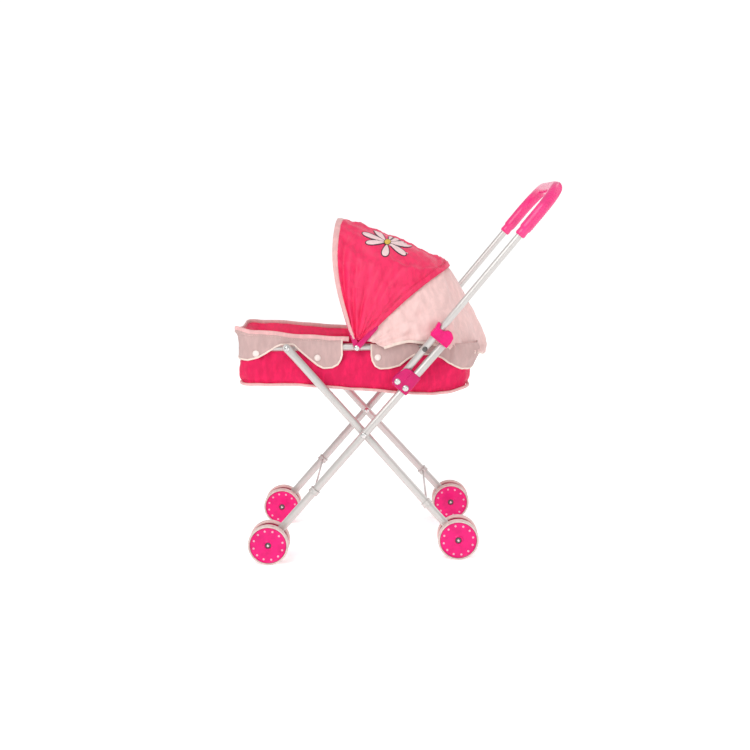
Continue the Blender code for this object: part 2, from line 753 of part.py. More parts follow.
def build_front_frame():
    """Front legs with everything that stays fixed to them."""
    brace_place = along(FRONT_AXLE, CROSS, FRONT_BRACE_AT)
    brace("front_brace", brace_place, LEG_Y - LEG_RADIUS - GAP - 0.0018 - GAP)
    for name, sign in SIDES:
        y = sign * LEG_Y
        front_leg(name, sign)
        rivet("cross_rivet_" + name, CROSS, INNER_LEG_Y - LEG_RADIUS, LEG_Y + LEG_RADIUS, sign)
        fold_bracket(name, sign)
        cheek_out = LEG_Y + LEG_RADIUS + GAP + CHEEK
        cheek_in = LEG_Y - LEG_RADIUS - GAP - CHEEK
        rivet("fold_rivet_" + name, FOLD, cheek_in, cheek_out, sign)
        rivet("bracket_rivet_" + name, BRACKET_RIVET, cheek_in, cheek_out, sign)
        brace_clip("front_brace_clip_" + name, side(FRONT_AXLE, y), side(CROSS, y), FRONT_BRACE_AT)
        wheel_pair("front", name, sign, FRONT_AXLE)


def build_rear_legs():
    """Rear legs, which turn about the crossing rivets."""
    pivot = empty("rear_frame", side(CROSS))
    clip_gap = LEG_RADIUS + GAP + 0.0018 + GAP
    foot = rear_leg_path(1.0)[2]
    knee = rear_leg_path(1.0)[1]
    brace_point = along(foot, knee, REAR_BRACE_AT - 0.045)
    half = brace_point.y - clip_gap - 0.0002
    place = (brace_point.x - WHEELBASE_MID_X, brace_point.z)
    brace("rear_brace", place, half, pivot)
    for name, sign in SIDES:
        rear_leg(name, sign, pivot)
        path = rear_leg_path(sign)
        brace_clip("rear_brace_clip_" + name, path[2], path[1], REAR_BRACE_AT - 0.045, pivot)
        made = rivet("toe_rivet_" + name, TOE, INNER_LEG_Y - LEG_RADIUS, INNER_LEG_Y + LEG_RADIUS, sign)
        attach(made, pivot, keep=True)
        wheel_pair("rear", name, sign, REAR_AXLE, pivot)


def build_handle():
    """Push handle, which folds forward about the brackets."""
    pivot = empty("handle", side(FOLD))
    handle_tube(pivot)
    grip_sleeve(pivot)
    for name, sign in SIDES:
        handle_bush(name, sign, pivot)
        lock_slider(name, sign, pivot)


def build_bassinet():
    """Rail, tub, flaps and the folding canopy."""
    frame = empty("bassinet", side(HEAD), RAIL_SLOPE)
    bassinet_rail(frame)
    tub(frame)
    base_board(frame)
    rim_band(frame)
    for name, sign in SIDES:
        front_flap(name, sign, frame)
        rear_flap(name, sign, frame)
        canopy_rivet(name, sign, frame)
    hinge = attach(empty("canopy", (CANOPY_X, 0.0, 0.0)), frame)
    bow("canopy_front_bow", FRONT_BOW, hinge)
    bow("canopy_mid_bow", MID_BOW, hinge)
    canopy_panel("canopy_front_panel", (turned_shape(MID_BOW, 0.3), turned_shape(MID_BOW, 1.2),
                                        turned_shape(FRONT_BOW, -1.2), turned_shape(FRONT_BOW, 1.0)),
                 MAGENTA_CLOTH, hinge)
    canopy_panel("canopy_rear_panel", (REAR_HEM, turned_shape(MID_BOW, -1.2),
                                       turned_shape(MID_BOW, -0.3)), PALE_CLOTH, hinge)


build_front_frame()
build_rear_legs()
build_handle()
build_bassinet()
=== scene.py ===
"""Folding doll stroller, dressed over its working frame.

The foot end points to -X, the push handle to +X, and the doll's left-hand side is at -Y.
"""
import json
import math

import bmesh
import bpy
import numpy as np
from bpy.props import FloatProperty, FloatVectorProperty, IntProperty, PointerProperty
from mathutils import Matrix, Vector
from mathutils.bvhtree import BVHTree


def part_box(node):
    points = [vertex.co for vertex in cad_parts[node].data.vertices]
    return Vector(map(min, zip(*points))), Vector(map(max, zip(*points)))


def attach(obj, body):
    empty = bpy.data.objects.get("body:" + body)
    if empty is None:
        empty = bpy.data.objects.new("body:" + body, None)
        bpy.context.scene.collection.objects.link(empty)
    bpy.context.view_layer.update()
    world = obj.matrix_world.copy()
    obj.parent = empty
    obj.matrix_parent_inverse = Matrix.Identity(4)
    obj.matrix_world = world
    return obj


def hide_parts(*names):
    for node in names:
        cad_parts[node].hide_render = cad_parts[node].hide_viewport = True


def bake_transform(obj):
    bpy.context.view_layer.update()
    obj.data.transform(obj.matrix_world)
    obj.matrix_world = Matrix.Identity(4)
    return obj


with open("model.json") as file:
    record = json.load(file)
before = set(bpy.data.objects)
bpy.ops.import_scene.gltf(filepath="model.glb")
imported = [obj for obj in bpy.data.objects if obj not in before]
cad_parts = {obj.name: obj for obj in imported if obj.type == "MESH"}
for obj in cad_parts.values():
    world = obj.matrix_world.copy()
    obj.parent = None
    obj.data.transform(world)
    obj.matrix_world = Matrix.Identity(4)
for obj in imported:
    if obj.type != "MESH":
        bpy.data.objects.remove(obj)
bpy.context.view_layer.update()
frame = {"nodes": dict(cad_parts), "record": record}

bl_info = {
    "name": "Folding doll stroller",
    "version": (1, 0, 0),
    "blender": (4, 5, 0),
    "location": "View3D > Sidebar > Doll stroller",
    "description": "Builds a folding doll stroller with a canopy, a cloth tub and twin wheels",
    "category": "Object",
}

# ---- Places taken from the frame ------------------------------------------------------------

JOINTS = {joint["name"]: joint for joint in frame["record"]["behaviour"]["joints"]}
SIDES = (("left", -1.0), ("right", 1.0))


def pivot(joint):
    """Side-view place of a joint, as a point on the middle plane."""
    place = Vector(JOINTS[joint]["pos_m"])
    return Vector((place.x, 0.0, place.z))


def middle(node):
    """Middle of a node's box."""
    low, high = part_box(node)
    return (Vector(low) + Vector(high)) / 2


FOLD = pivot("handle_fold")
CROSS = pivot("rear_leg_fold")
HEAD = pivot("bassinet_tilt")
HOOD = pivot("canopy_fold")
FRONT_AXLE = pivot("wheel_front_left_outer_spin")
REAR_AXLE = pivot("wheel_rear_left_outer_spin")
TOE = Vector((middle("toe_rivet_left").x, 0.0, middle("toe_rivet_left").z))
HANDLE_WAY = Vector(JOINTS["lock_left_slide"]["axis"])
UNDER_HANDLE = Vector((HANDLE_WAY.z, 0.0, -HANDLE_WAY.x))
FRONT_WAY = (CROSS - FRONT_AXLE).normalized()
ACROSS = Vector((0.0, 1.0, 0.0))
UP = Vector((0.0, 0.0, 1.0))

GAP = 0.0003
LEG_Y = 0.1075
LEG_RADIUS = 0.006
INNER_LEG_Y = 0.095
FRONT_LEG_LENGTH = 0.409
TUBE_OVERHANG = 0.007
HANDLE_RADIUS = 0.00525
HANDLE_LENGTH = 0.365
HANDLE_BEND = 0.050
RAIL_RADIUS = 0.0055
RAIL_Y = 0.080
RAIL_FRONT = -0.274
RAIL_REAR = 0.063
RAIL_CORNER = 0.028
RAIL_SLOPE = math.radians(1.4)
PIN_RADIUS = 0.002
CHEEK = 0.0016
BRACKET_AT = 0.3215
BRACKET_RIVET_AT = 0.3128
LOCK_AT = 0.083
WHEEL_RADIUS = 0.0305
WHEEL_WIDTH = 0.012
WHEEL_GAP = 0.0132
RIM_THICKNESS = 0.003
TUB_Y = 0.082
FLAP_Y = RAIL_Y + RAIL_RADIUS + 0.0013

RAIL_FRAME = Matrix.Translation(HEAD) @ Matrix.Rotation(RAIL_SLOPE, 4, "Y")
HOOD_FRAME = Matrix.Translation(HOOD) @ Matrix.Rotation(RAIL_SLOPE, 4, "Y")

FRONT_BOW = {"crest": 98.0, "lean": 11.0, "radius": 0.188, "half_width": 0.0890, "round": 0.75}
MID_BOW = {"crest": 41.0, "lean": 6.0, "radius": 0.180, "half_width": 0.0870, "round": 0.75}
REAR_HEM = {"crest": -3.0, "lean": 8.0, "radius": 0.198, "half_width": 0.0905, "round": 0.48}

# ---- Settings -------------------------------------------------------------------------------


def length(name, description, default):
    """A size that shows in scene units."""
    return FloatProperty(name=name, description=description, default=default, min=0.0,
                         unit="LENGTH", subtype="DISTANCE", precision=5)


def colour(name, description, default):
    """A linear colour."""
    return FloatVectorProperty(name=name, description=description, default=default, size=3,
                               min=0.0, max=1.0, subtype="COLOR")


class StrollerFrameSettings(bpy.types.PropertyGroup):
    """Sizes of the tubes, rivets and mouldings."""

    tube_sides: IntProperty(name="Tube sides", description="Faces round each tube", default=32, min=8)
    tube_wall: length("Tube wall", "Thickness of the tube at its open ends", 0.0008)
    rivet_head: length("Rivet head", "Radius of the domed rivet heads", 0.0042)
    rivet_height: length("Rivet height", "Height of the domed rivet heads", 0.0016)
    moulding_grain: length("Moulding grain", "Size of the smallest detail on the mouldings", 0.00042)
    rib_pitch: length("Rib pitch", "Distance between two ribs of the grip", 0.0033)
    rib_size: length("Rib size", "Radius of one rib of the grip", 0.00105)
    grip_radius: length("Grip radius", "Outside radius of the smooth part of the grip", 0.0089)
    grip_leg: length("Grip leg", "Length of the grip down each leg, from the crossbar", 0.090)


class StrollerWheelSettings(bpy.types.PropertyGroup):
    """Sizes of the wheels."""

    pips: IntProperty(name="Pips", description="Raised dots on each wheel face", default=12, min=0)
    pip_ring: length("Pip ring", "Radius of the circle of dots", 0.0222)
    pip_radius: length("Pip radius", "Radius of one dot", 0.0017)
    steps: IntProperty(name="Steps", description="Faces round each wheel", default=72, min=24)


class StrollerClothSettings(bpy.types.PropertyGroup):
    """Sizes of the cloth."""

    thickness: length("Thickness", "Thickness of the cloth", 0.0006)
    slack_tub: FloatProperty(name="Tub slack", description="Spare cloth in the tub wall", default=0.016)
    slack_hood: FloatProperty(name="Hood slack", description="Spare cloth in the hood", default=0.009)
    slack_back: FloatProperty(name="Back slack", description="Spare cloth in the hood's back",
                              default=0.030)
    stitch_pitch: length("Stitch pitch", "Distance between two stitches", 0.0026)
    snap_radius: length("Snap radius", "Radius of the snap buttons", 0.0048)


class StrollerColours(bpy.types.PropertyGroup):
    """Colours of the finishes."""

    tube: colour("Tube", "Lacquered tubes", (0.60, 0.575, 0.555))
    magenta_plastic: colour("Magenta plastic", "Brackets, locks and wheel discs", (0.84, 0.005, 0.185))
    grip: colour("Grip", "Push handle sleeve", (0.90, 0.035, 0.235))
    rim: colour("Wheel rim", "Wheel rims", (0.80, 0.52, 0.50))
    magenta_cloth: colour("Magenta cloth", "Tub and hood", (0.93, 0.016, 0.118))
    pale_cloth: colour("Pale cloth", "Valances and the hood's back", (0.88, 0.60, 0.575))
    binding: colour("Binding", "Bindings and piping", (0.83, 0.47, 0.465))


def frame_sizes():
    """Sizes of the hard parts."""
    return bpy.context.scene.stroller_frame


def wheel_sizes():
    """Sizes of the wheels."""
    return bpy.context.scene.stroller_wheels


def cloth_sizes():
    """Sizes of the cloth."""
    return bpy.context.scene.stroller_cloth


def colours():
    """Colours of the finishes."""
    return bpy.context.scene.stroller_colours


# ---- Node trees -----------------------------------------------------------------------------


class Value:
    """A shader or geometry socket that takes part in sums and products."""

    def __init__(self, tree, socket):
        self.tree = tree
        self.socket = socket

    def maths(self, operation, *terms):
        """Add a Math node."""
        node = self.tree.add("ShaderNodeMath", {"operation": operation}, dict(enumerate(terms)))
        return Value(self.tree, node.outputs[0])

    def __add__(self, other):
        return self.maths("ADD", self, other)

    def __radd__(self, other):
        return self.maths("ADD", other, self)

    def __sub__(self, other):
        return self.maths("SUBTRACT", self, other)

    def __rsub__(self, other):
        return self.maths("SUBTRACT", other, self)

    def __mul__(self, other):
        return self.maths("MULTIPLY", self, other)

    def __rmul__(self, other):
        return self.maths("MULTIPLY", other, self)

    def __truediv__(self, other):
        return self.maths("DIVIDE", self, other)

    def __rtruediv__(self, other):
        return self.maths("DIVIDE", other, self)

    def __pow__(self, other):
        return self.maths("POWER", self, other)

    def between(self, low, high):
        """0 below low, 1 above high, and smooth in between."""
        node = self.tree.add("ShaderNodeMapRange", {"interpolation_type": "SMOOTHSTEP"},
                             {0: self, 1: low, 2: high})
        return Value(self.tree, node.outputs[0])


class Tree:
    """A node tree, with one way to add any node."""

    def __init__(self, tree):
        self.tree = tree

    def add(self, kind, options=None, inputs=None):
        """Add a node: its options come first, then the values or links of its sockets."""
        node = self.tree.nodes.new(kind)
        for key, value in (options or {}).items():
            if key == "stops":
                self.stops(node.color_ramp, value)
            else:
                setattr(node, key, value)
        for key, value in (inputs or {}).items():
            self.fill(node.inputs[key], value)
        return node

    def stops(self, ramp, stops):
        """Set a ramp's stops, each a position and a grey or a colour."""
        while len(ramp.elements) < len(stops):
            ramp.elements.new(1.0)
        for element, (position, shade) in zip(ramp.elements, stops):
            element.position = position
            element.color = (shade, shade, shade, 1.0) if isinstance(shade, float) else (*shade, 1.0)

    def fill(self, socket, value):
        """Link a socket, or set its value."""
        if isinstance(value, Value):
            value = value.socket
        if isinstance(value, bpy.types.NodeSocket):
            self.tree.links.new(value, socket)
        elif socket.type == "RGBA" and len(value) == 3:
            socket.default_value = (*value, 1.0)
        else:
            socket.default_value = value


class Finish(Tree):
    """A material on one Principled shader."""

    def __init__(self, name, base, roughness, **fixed):
        self.material = bpy.data.materials.new(name)
        self.material.use_nodes = True
        super().__init__(self.material.node_tree)
        self.shader = self.tree.nodes["Principled BSDF"]
        self.coordinates = self.tree.nodes.new("ShaderNodeTexCoord")
        self.material.diffuse_color = (*base, 1.0)
        self.set("Base Color", base)
        self.set("Roughness", roughness)
        for key, value in fixed.items():
            self.set(key.replace("_", " "), value)

    def set(self, socket, value):
        """Fill one socket of the shader."""
        self.fill(self.shader.inputs[socket], value)

    def place(self, stretch=(1.0, 1.0, 1.0), on="Object", turn=(0.0, 0.0, 0.0)):
        """Coordinates in metres, stretched and turned."""
        node = self.add("ShaderNodeMapping", {},
                        {"Vector": self.coordinates.outputs[on], "Scale": stretch, "Rotation": turn})
        return node.outputs[0]

    def cloud(self, scale, detail=3.0, roughness=0.5, vector=None):
        """A smooth noise about 0.5."""
        node = self.add("ShaderNodeTexNoise", {}, {"Vector": vector or self.place(), "Scale": scale,
                                                   "Detail": detail, "Roughness": roughness})
        return Value(self, node.outputs[0])

    def bands(self, scale, direction, vector=None, distortion=0.0):
        """Parallel waves."""
        node = self.add("ShaderNodeTexWave", {"bands_direction": direction},
                        {"Vector": vector or self.place(), "Scale": scale, "Distortion": distortion,
                         "Detail": 1.0, "Detail Scale": 2.0})
        return Value(self, node.outputs[1])

    def blend(self, factor, first, second):
        """Mix two colours."""
        node = self.add("ShaderNodeMix", {"data_type": "RGBA"}, {0: factor, 6: first, 7: second})
        return node.outputs[2]

    def relief(self, height, strength, distance):
        """Feed a height into the normal."""
        node = self.add("ShaderNodeBump", {}, {"Height": height, "Strength": strength,
                                               "Distance": distance})
        self.set("Normal", node.outputs[0])


def shade(base, factor):
    """A darker or lighter version of a colour."""
    return tuple(min(1.0, channel * factor) for channel in base)


def tinted(base, other, share):
    """A colour part of the way to another."""
    return tuple(a + (b - a) * share for a, b in zip(base, other))


LOOKS = {}


def look(name):
    """A finished material, made once."""
    if name not in LOOKS:
        LOOKS[name] = RECIPES[name]().material
    return LOOKS[name]


def lacquered_tube():
    """Silver-grey lacquer over thin steel tube, a little scuffed."""
    base = tuple(colours().tube)
    finish = Finish("lacquered_tube", base, 0.34, Metallic=0.45, Coat_Weight=0.25, Coat_Roughness=0.2)
    flow = finish.cloud(38.0, 3.0, 0.55)
    scuffs = finish.cloud(420.0, 4.0, 0.7, finish.place((1.0, 1.0, 0.35)))
    marks = scuffs.between(0.66, 0.78)
    finish.set("Base Color", finish.blend(marks * 0.15 + flow * 0.25, shade(base, 1.04), shade(base, 0.82)))
    finish.set("Roughness", flow * 0.08 + marks * 0.12 + 0.30)
    finish.relief(scuffs, 0.04, 0.0002)
    return finish


def bright_rivet():
    """Plated steel with fine polishing marks."""
    finish = Finish("bright_rivet", (0.72, 0.71, 0.70), 0.18, Metallic=1.0)
    marks = finish.cloud(900.0, 3.0, 0.6)
    finish.set("Base Color", finish.blend(marks.between(0.35, 0.75), (0.80, 0.79, 0.78), (0.46, 0.44, 0.43)))
    finish.set("Roughness", marks * 0.22 + 0.10)
    finish.relief(marks, 0.10, 0.0002)
    return finish


def dark_rivet():
    """Dull dark steel."""
    finish = Finish("dark_rivet", (0.13, 0.125, 0.12), 0.4, Metallic=0.8)
    marks = finish.cloud(700.0, 3.0, 0.6)
    worn = marks.between(0.4, 0.7)
    finish.set("Base Color", finish.blend(worn, (0.16, 0.15, 0.145), (0.06, 0.055, 0.055)))
    finish.set("Roughness", marks * 0.25 + 0.28)
    return finish


def moulded(name, base, roughness, coat, gloss=0.5):
    """Injection moulded plastic with a slight orange peel and dull patches."""
    finish = Finish(name, base, roughness, Coat_Weight=coat, Coat_Roughness=0.12,
                    Specular_IOR_Level=gloss)
    peel = finish.cloud(620.0, 2.0, 0.5)
    patches = finish.cloud(70.0, 3.0, 0.6)
    finish.set("Base Color", finish.blend(patches.between(0.35, 0.7), shade(base, 1.05), shade(base, 0.86)))
    finish.set("Roughness", patches * 0.14 + peel * 0.05 + (roughness - 0.08))
    finish.relief(peel, 0.07, 0.0003)
    return finish


def magenta_plastic():
    """Gloss plastic of the brackets, locks, bows and wheel discs."""
    return moulded("magenta_plastic", tuple(colours().magenta_plastic), 0.30, 0.10, 0.25)


def deep_plastic():
    """The same magenta plastic, darkened as painted shade for the brackets and the hood arms."""
    return moulded("deep_plastic", shade(tuple(colours().magenta_plastic), 0.74), 0.32, 0.12, 0.3)


def grip_vinyl():
    """Soft gloss sleeve of the push handle."""
    return moulded("grip_vinyl", tuple(colours().grip), 0.26, 0.22)


def pip_plastic():
    """Pale dots printed on the wheel faces."""
    return moulded("pip_plastic", (0.90, 0.42, 0.56), 0.35, 0.2)


def snap_plastic():
    """Milky snap buttons."""
    return moulded("snap_plastic", (0.90, 0.76, 0.72), 0.32, 0.35)


def dark_plastic():
    """Dull dark plastic of the washers."""
    return moulded("dark_plastic", (0.11, 0.100, 0.100), 0.45, 0.1)


def rim_plastic():
    """Wheel rim: pale sides and a greyer, worn tread."""
    base = tuple(colours().rim)
    finish = Finish("rim_plastic", base, 0.38, Coat_Weight=0.15, Coat_Roughness=0.25)
    split = finish.add("ShaderNodeSeparateXYZ", {}, {0: finish.coordinates.outputs["UV"]})
    tread = Value(finish, split.outputs[0]).between(0.40, 0.60)
    dust = finish.cloud(160.0, 4.0, 0.65)
    worn = finish.blend(dust.between(0.35, 0.75), (0.76, 0.62, 0.58), (0.56, 0.45, 0.42))
    clean = finish.blend(dust.between(0.4, 0.8), shade(base, 1.05), shade(base, 0.88))
    finish.set("Base Color", finish.blend(tread, clean, worn))
    finish.set("Roughness", dust * 0.2 + tread * 0.12 + 0.26)
    finish.relief(dust, 0.06, 0.0004)
    return finish


def woven(name, base, roughness, sheen, dark=0.80, light=1.08, thread=1500.0, **fixed):
    """Thin taffeta: a fine weave and small creases, with painted shade in the creases' hollows, painted light
    on their ridges, and long soft patches of painted shade.
    """
    finish = Finish(name, base, roughness, Sheen_Weight=sheen, Sheen_Roughness=0.35, **fixed)
    warp = finish.bands(thread, "X", finish.place(on="UV"))
    weft = finish.bands(thread, "Y", finish.place(on="UV"))
    weave = warp * weft
    soft = finish.cloud(26.0, 3.0, 0.55)
    creases = finish.cloud(150.0, 4.0, 0.6, finish.place((1.0, 1.0, 0.35)))
    # Painted shade and light: the colour follows the crease noise that also bumps the surface, darker in the
    # hollows and lighter on the ridges; the large soft noise adds darker patches of painted shade.
    fold = finish.blend(creases.between(0.38, 0.66), shade(base, dark), shade(base, light))
    finish.set("Base Color", finish.blend(soft.between(0.3, 0.75) * 0.35, fold, shade(base, dark)))
    finish.set("Roughness", creases * 0.18 + weave * 0.06 + (roughness - 0.10))
    finish.relief(weave * 0.18 + creases * 0.82, 0.32, 0.0012)
    return finish


def magenta_cloth():
    """Shiny nylon of the tub and hood."""
    return woven("magenta_cloth", tuple(colours().magenta_cloth), 0.44, 0.10, 0.87, 1.04)


def tub_cloth():
    """The same nylon where it hangs slack under the rail, darkened as painted shade and with less sheen."""
    return woven("tub_cloth", shade(tuple(colours().magenta_cloth), 0.90), 0.5, 0.03, 0.86, 1.05,
                 Specular_IOR_Level=0.15)


def lining_cloth():
    """The duller inside of the same nylon, its colour lightened a little as painted light."""
    return woven("lining_cloth", shade(tuple(colours().magenta_cloth), 1.05), 0.62, 0.15, 0.88, 1.04)


def pale_cloth():
    """Pale nylon of the hood's back."""
    return woven("pale_cloth", tuple(colours().pale_cloth), 0.62, 0.2, 0.93, 1.05)


def sheer_cloth():
    """Thin pale nylon of the valances, through which the rail shows."""
    return woven("sheer_cloth", shade(tuple(colours().pale_cloth), 0.79), 0.6, 0.05, 0.92, 1.05, Alpha=0.80)


def binding_tape():
    """Pale pink folded tape."""
    return woven("binding_tape", tuple(colours().binding), 0.6, 0.25, 0.9, 1.06, 1900.0)


def cream_tape():
    """Cream tape round the valances and the hem."""
    return woven("cream_tape", (0.88, 0.72, 0.64), 0.62, 0.25, 0.92, 1.05, 1900.0)


def quilt_cloth():
    """Cover of the mattress insert."""
    return woven("quilt_cloth", tinted(tuple(colours().pale_cloth), (0.9, 0.3, 0.35), 0.25), 0.66, 0.3,
                 0.92, 1.05)


def pale_thread():
    """Pale sewing thread."""
    return woven("pale_thread", (0.88, 0.62, 0.58), 0.6, 0.3, 0.85, 1.08, 3000.0)


def magenta_thread():
    """Dark pink sewing thread."""
    return woven("magenta_thread", (0.62, 0.010, 0.075), 0.6, 0.3, 0.85, 1.08, 3000.0)


def petal_print():
    """Pale petals of the flower patch."""
    return woven("petal_print", (0.90, 0.66, 0.66), 0.6, 0.25, 0.93, 1.04)


def outline_print():
    """Dark outline of the flower patch."""
    return woven("outline_print", (0.045, 0.008, 0.030), 0.55, 0.15, 0.8, 1.2)


def centre_print():
    """Yellow middle of the flower patch."""
    return woven("centre_print", (0.72, 0.48, 0.05), 0.6, 0.25, 0.85, 1.1)


def studio_floor():
    """Plain pale floor with a faint tone."""
    finish = Finish("studio_floor", (0.93, 0.93, 0.93), 0.7, Emission_Color=(1.0, 1.0, 1.0, 1.0),
                    Emission_Strength=0.42)
    soft = finish.cloud(1.2, 2.0, 0.5)
    finish.set("Base Color", finish.blend(soft, (0.94, 0.94, 0.94), (0.92, 0.92, 0.92)))
    return finish


RECIPES = {recipe.__name__: recipe for recipe in (
    lacquered_tube, bright_rivet, dark_rivet, magenta_plastic, deep_plastic, grip_vinyl, pip_plastic,
    snap_plastic, dark_plastic, rim_plastic, magenta_cloth, tub_cloth, lining_cloth, pale_cloth, sheer_cloth,
    binding_tape, cream_tape, quilt_cloth, pale_thread, magenta_thread, petal_print, outline_print,
    centre_print, studio_floor)}

# ---- Meshes ---------------------------------------------------------------------------------


def smooth_steps(share):
    """An even start and end between 0 and 1."""
    share = np.clip(share, 0.0, 1.0)
    return share * share * (3.0 - 2.0 * share)


def hump(value, centre, width):
    """A rounded hump of height 1."""
    return np.exp(-((value - centre) / width) ** 2)


def ripple(points, scale, seed, waves=9):
    """Smooth seeded unevenness between about -1 and 1; scale is a wavelength."""
    rng = np.random.default_rng(seed)
    total = np.zeros(points.shape[:-1])
    for _ in range(waves):
        way = rng.normal(size=points.shape[-1])
        way /= np.linalg.norm(way)
        reach = 2 * math.pi / (scale * rng.uniform(0.7, 1.5))
        total += np.sin(points @ way * reach + rng.uniform(0, 2 * math.pi))
    return total / math.sqrt(waves)


def grid_mesh(name, places, wrap=(False, False), uv=None):
    """A mesh on a grid of places, with an optional grid of texture places in metres."""
    rows, columns = places.shape[:2]
    ids = np.arange(rows * columns).reshape(rows, columns)
    i = np.arange(rows if wrap[0] else rows - 1)[:, None]
    j = np.arange(columns if wrap[1] else columns - 1)[None, :]
    up, on = (i + 1) % rows, (j + 1) % columns
    faces = np.stack([ids[i, j], ids[up, j], ids[up, on], ids[i, on]], -1).reshape(-1, 4)
    mesh = bpy.data.meshes.new(name)
    mesh.from_pydata(places.reshape(-1, 3).tolist(), [], faces.tolist())
    if uv is None:
        uv = arc_lengths(places, wrap)
    i, j = np.broadcast_arrays(i, j)
    corners = np.stack([uv[i, j], uv[i + 1, j], uv[i + 1, j + 1], uv[i, j + 1]], 2).reshape(-1)
    layer = mesh.uv_layers.new(name="UVMap")
    layer.data.foreach_set("uv", corners.astype(np.float32))
    mesh.shade_smooth()
    return mesh


def arc_lengths(places, wrap):
    """Texture places in metres, from the lengths along the middle row and column."""
    rows, columns = places.shape[:2]
    row_line = places[:, columns // 3]
    column_line = places[rows // 2]
    if wrap[0]:
        row_line = np.vstack([row_line, row_line[:1]])
    if wrap[1]:
        column_line = np.vstack([column_line, column_line[:1]])
    u = np.concatenate([[0.0], np.cumsum(np.linalg.norm(np.diff(row_line, axis=0), axis=1))])
    v = np.concatenate([[0.0], np.cumsum(np.linalg.norm(np.diff(column_line, axis=0), axis=1))])
    uv = np.zeros((rows + 1, columns + 1, 2))
    uv[: len(u), :, 0] = u[:, None]
    uv[:, : len(v), 1] = v[None, :]
    return uv


def cap_rings(mesh, rings, size):
    """Close a grid's first and last rows, each size points round."""
    body = bmesh.new()
    body.from_mesh(mesh)
    body.verts.ensure_lookup_table()
    for ring in rings:
        body.faces.new([body.verts[ring * size + k] for k in range(size)])
    bmesh.ops.recalc_face_normals(body, faces=body.faces)
    body.to_mesh(mesh)
    body.free()
    return mesh


def tidy_mesh(mesh, distance=1e-6, outward=True):
    """Merge doubles and turn the faces outwards."""
    body = bmesh.new()
    body.from_mesh(mesh)
    bmesh.ops.remove_doubles(body, verts=body.verts, dist=distance)
    bmesh.ops.dissolve_degenerate(body, edges=body.edges, dist=distance)
    if outward:
        bmesh.ops.recalc_face_normals(body, faces=body.faces)
    body.to_mesh(mesh)
    body.free()
    mesh.shade_smooth()
    return mesh


def joined(name, meshes):
    """Several meshes as one."""
    body = bmesh.new()
    for mesh in meshes:
        body.from_mesh(mesh)
    result = bpy.data.meshes.new(name)
    body.to_mesh(result)
    body.free()
    return result


def show(name, mesh, finish, body, stands_for=()):
    """Make a piece of a mesh: its material, the body it rides on and the nodes it stands for."""
    mesh.name = name
    mesh.materials.clear()
    mesh.materials.append(look(finish))
    made = bpy.data.objects.new(name, mesh)
    bpy.context.scene.collection.objects.link(made)
    if body:
        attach(made, body)
    if stands_for:
        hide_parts(*stands_for)
    return made


def settle(mesh_object):
    """Apply an object's modifiers and return the plain mesh."""
    bpy.context.view_layer.update()
    graph = bpy.context.evaluated_depsgraph_get()
    mesh = bpy.data.meshes.new_from_object(mesh_object.evaluated_get(graph))
    bpy.data.objects.remove(mesh_object)
    return mesh


def temporary(name, mesh):
    """An object that is only a step on the way to a mesh."""
    made = bpy.data.objects.new(name + "_step", mesh)
    bpy.context.scene.collection.objects.link(made)
    return made


def thickened(mesh, thickness, offset=-1.0):
    """Give a sheet its thickness."""
    made = temporary(mesh.name, mesh)
    shell = made.modifiers.new("thickness", "SOLIDIFY")
    shell.thickness = thickness
    shell.offset = offset
    shell.use_rim = True
    result = settle(made)
    result.shade_smooth()
    return result


def transformed(places, matrix):
    """Places moved by a matrix."""
    turn = np.array(matrix.to_3x3())
    return places @ turn.T + np.array(matrix.translation)


# ---- Sweeps and turned shapes ---------------------------------------------------------------


def rounded_path(points, radius, steps=8):
    """A path with an arc in place of each corner."""
    points = [Vector(point) for point in points]
    path = [points[0]]
    for before, corner, after in zip(points, points[1:], points[2:]):
        first = (before - corner).normalized()
        second = (after - corner).normalized()
        bend = first.angle(second)
        reach = radius / math.tan(bend / 2)
        reach = min(reach, (before - corner).length * 0.48, (after - corner).length * 0.48)
        start, end = corner + first * reach, corner + second * reach
        for step in range(steps + 1):
            share = step / steps
            path.append(start.lerp(corner, share).lerp(corner.lerp(end, share), share))
    path.append(points[-1])
    return path


def tangents(path, closed=False):
    """Unit directions along a path."""
    path = np.array([tuple(point) for point in path])
    if closed:
        ways = np.roll(path, -1, axis=0) - np.roll(path, 1, axis=0)
    else:
        ways = np.gradient(path, axis=0)
    return ways / np.linalg.norm(ways, axis=1)[:, None]


def sweep(name, path, ways, reference, wide, high, sides=32, closed=False):
    """A skin round a path. wide is measured across the reference direction, and high along it."""
    path = np.array([tuple(point) for point in path])
    reference = np.broadcast_to(np.array(reference, float), path.shape)
    along = reference - (reference * ways).sum(1)[:, None] * ways
    along /= np.linalg.norm(along, axis=1)[:, None]
    across = np.cross(along, ways)
    turn = np.linspace(0, 2 * math.pi, sides, endpoint=False)
    wide = np.broadcast_to(np.asarray(wide, float), len(path))
    high = np.broadcast_to(np.asarray(high, float), len(path))
    places = (path[:, None] + across[:, None] * (wide[:, None] * np.cos(turn))[..., None]
              + along[:, None] * (high[:, None] * np.sin(turn))[..., None])
    mesh = grid_mesh(name, places, (closed, True))
    if not closed:
        cap_rings(mesh, (0, len(path) - 1), sides)
    return mesh


def hollow_end(point, way, radius, wall, depth=0.006):
    """Rings of an open tube end, from deep inside out to its outside."""
    point, way = Vector(point), Vector(way)
    inner = radius - wall
    rings = ((depth, inner), (wall * 0.4, inner), (0.0, radius - wall * 0.65),
             (0.0, radius - wall * 0.35), (wall * 0.4, radius))
    return [(point + way * inset, size) for inset, size in rings]


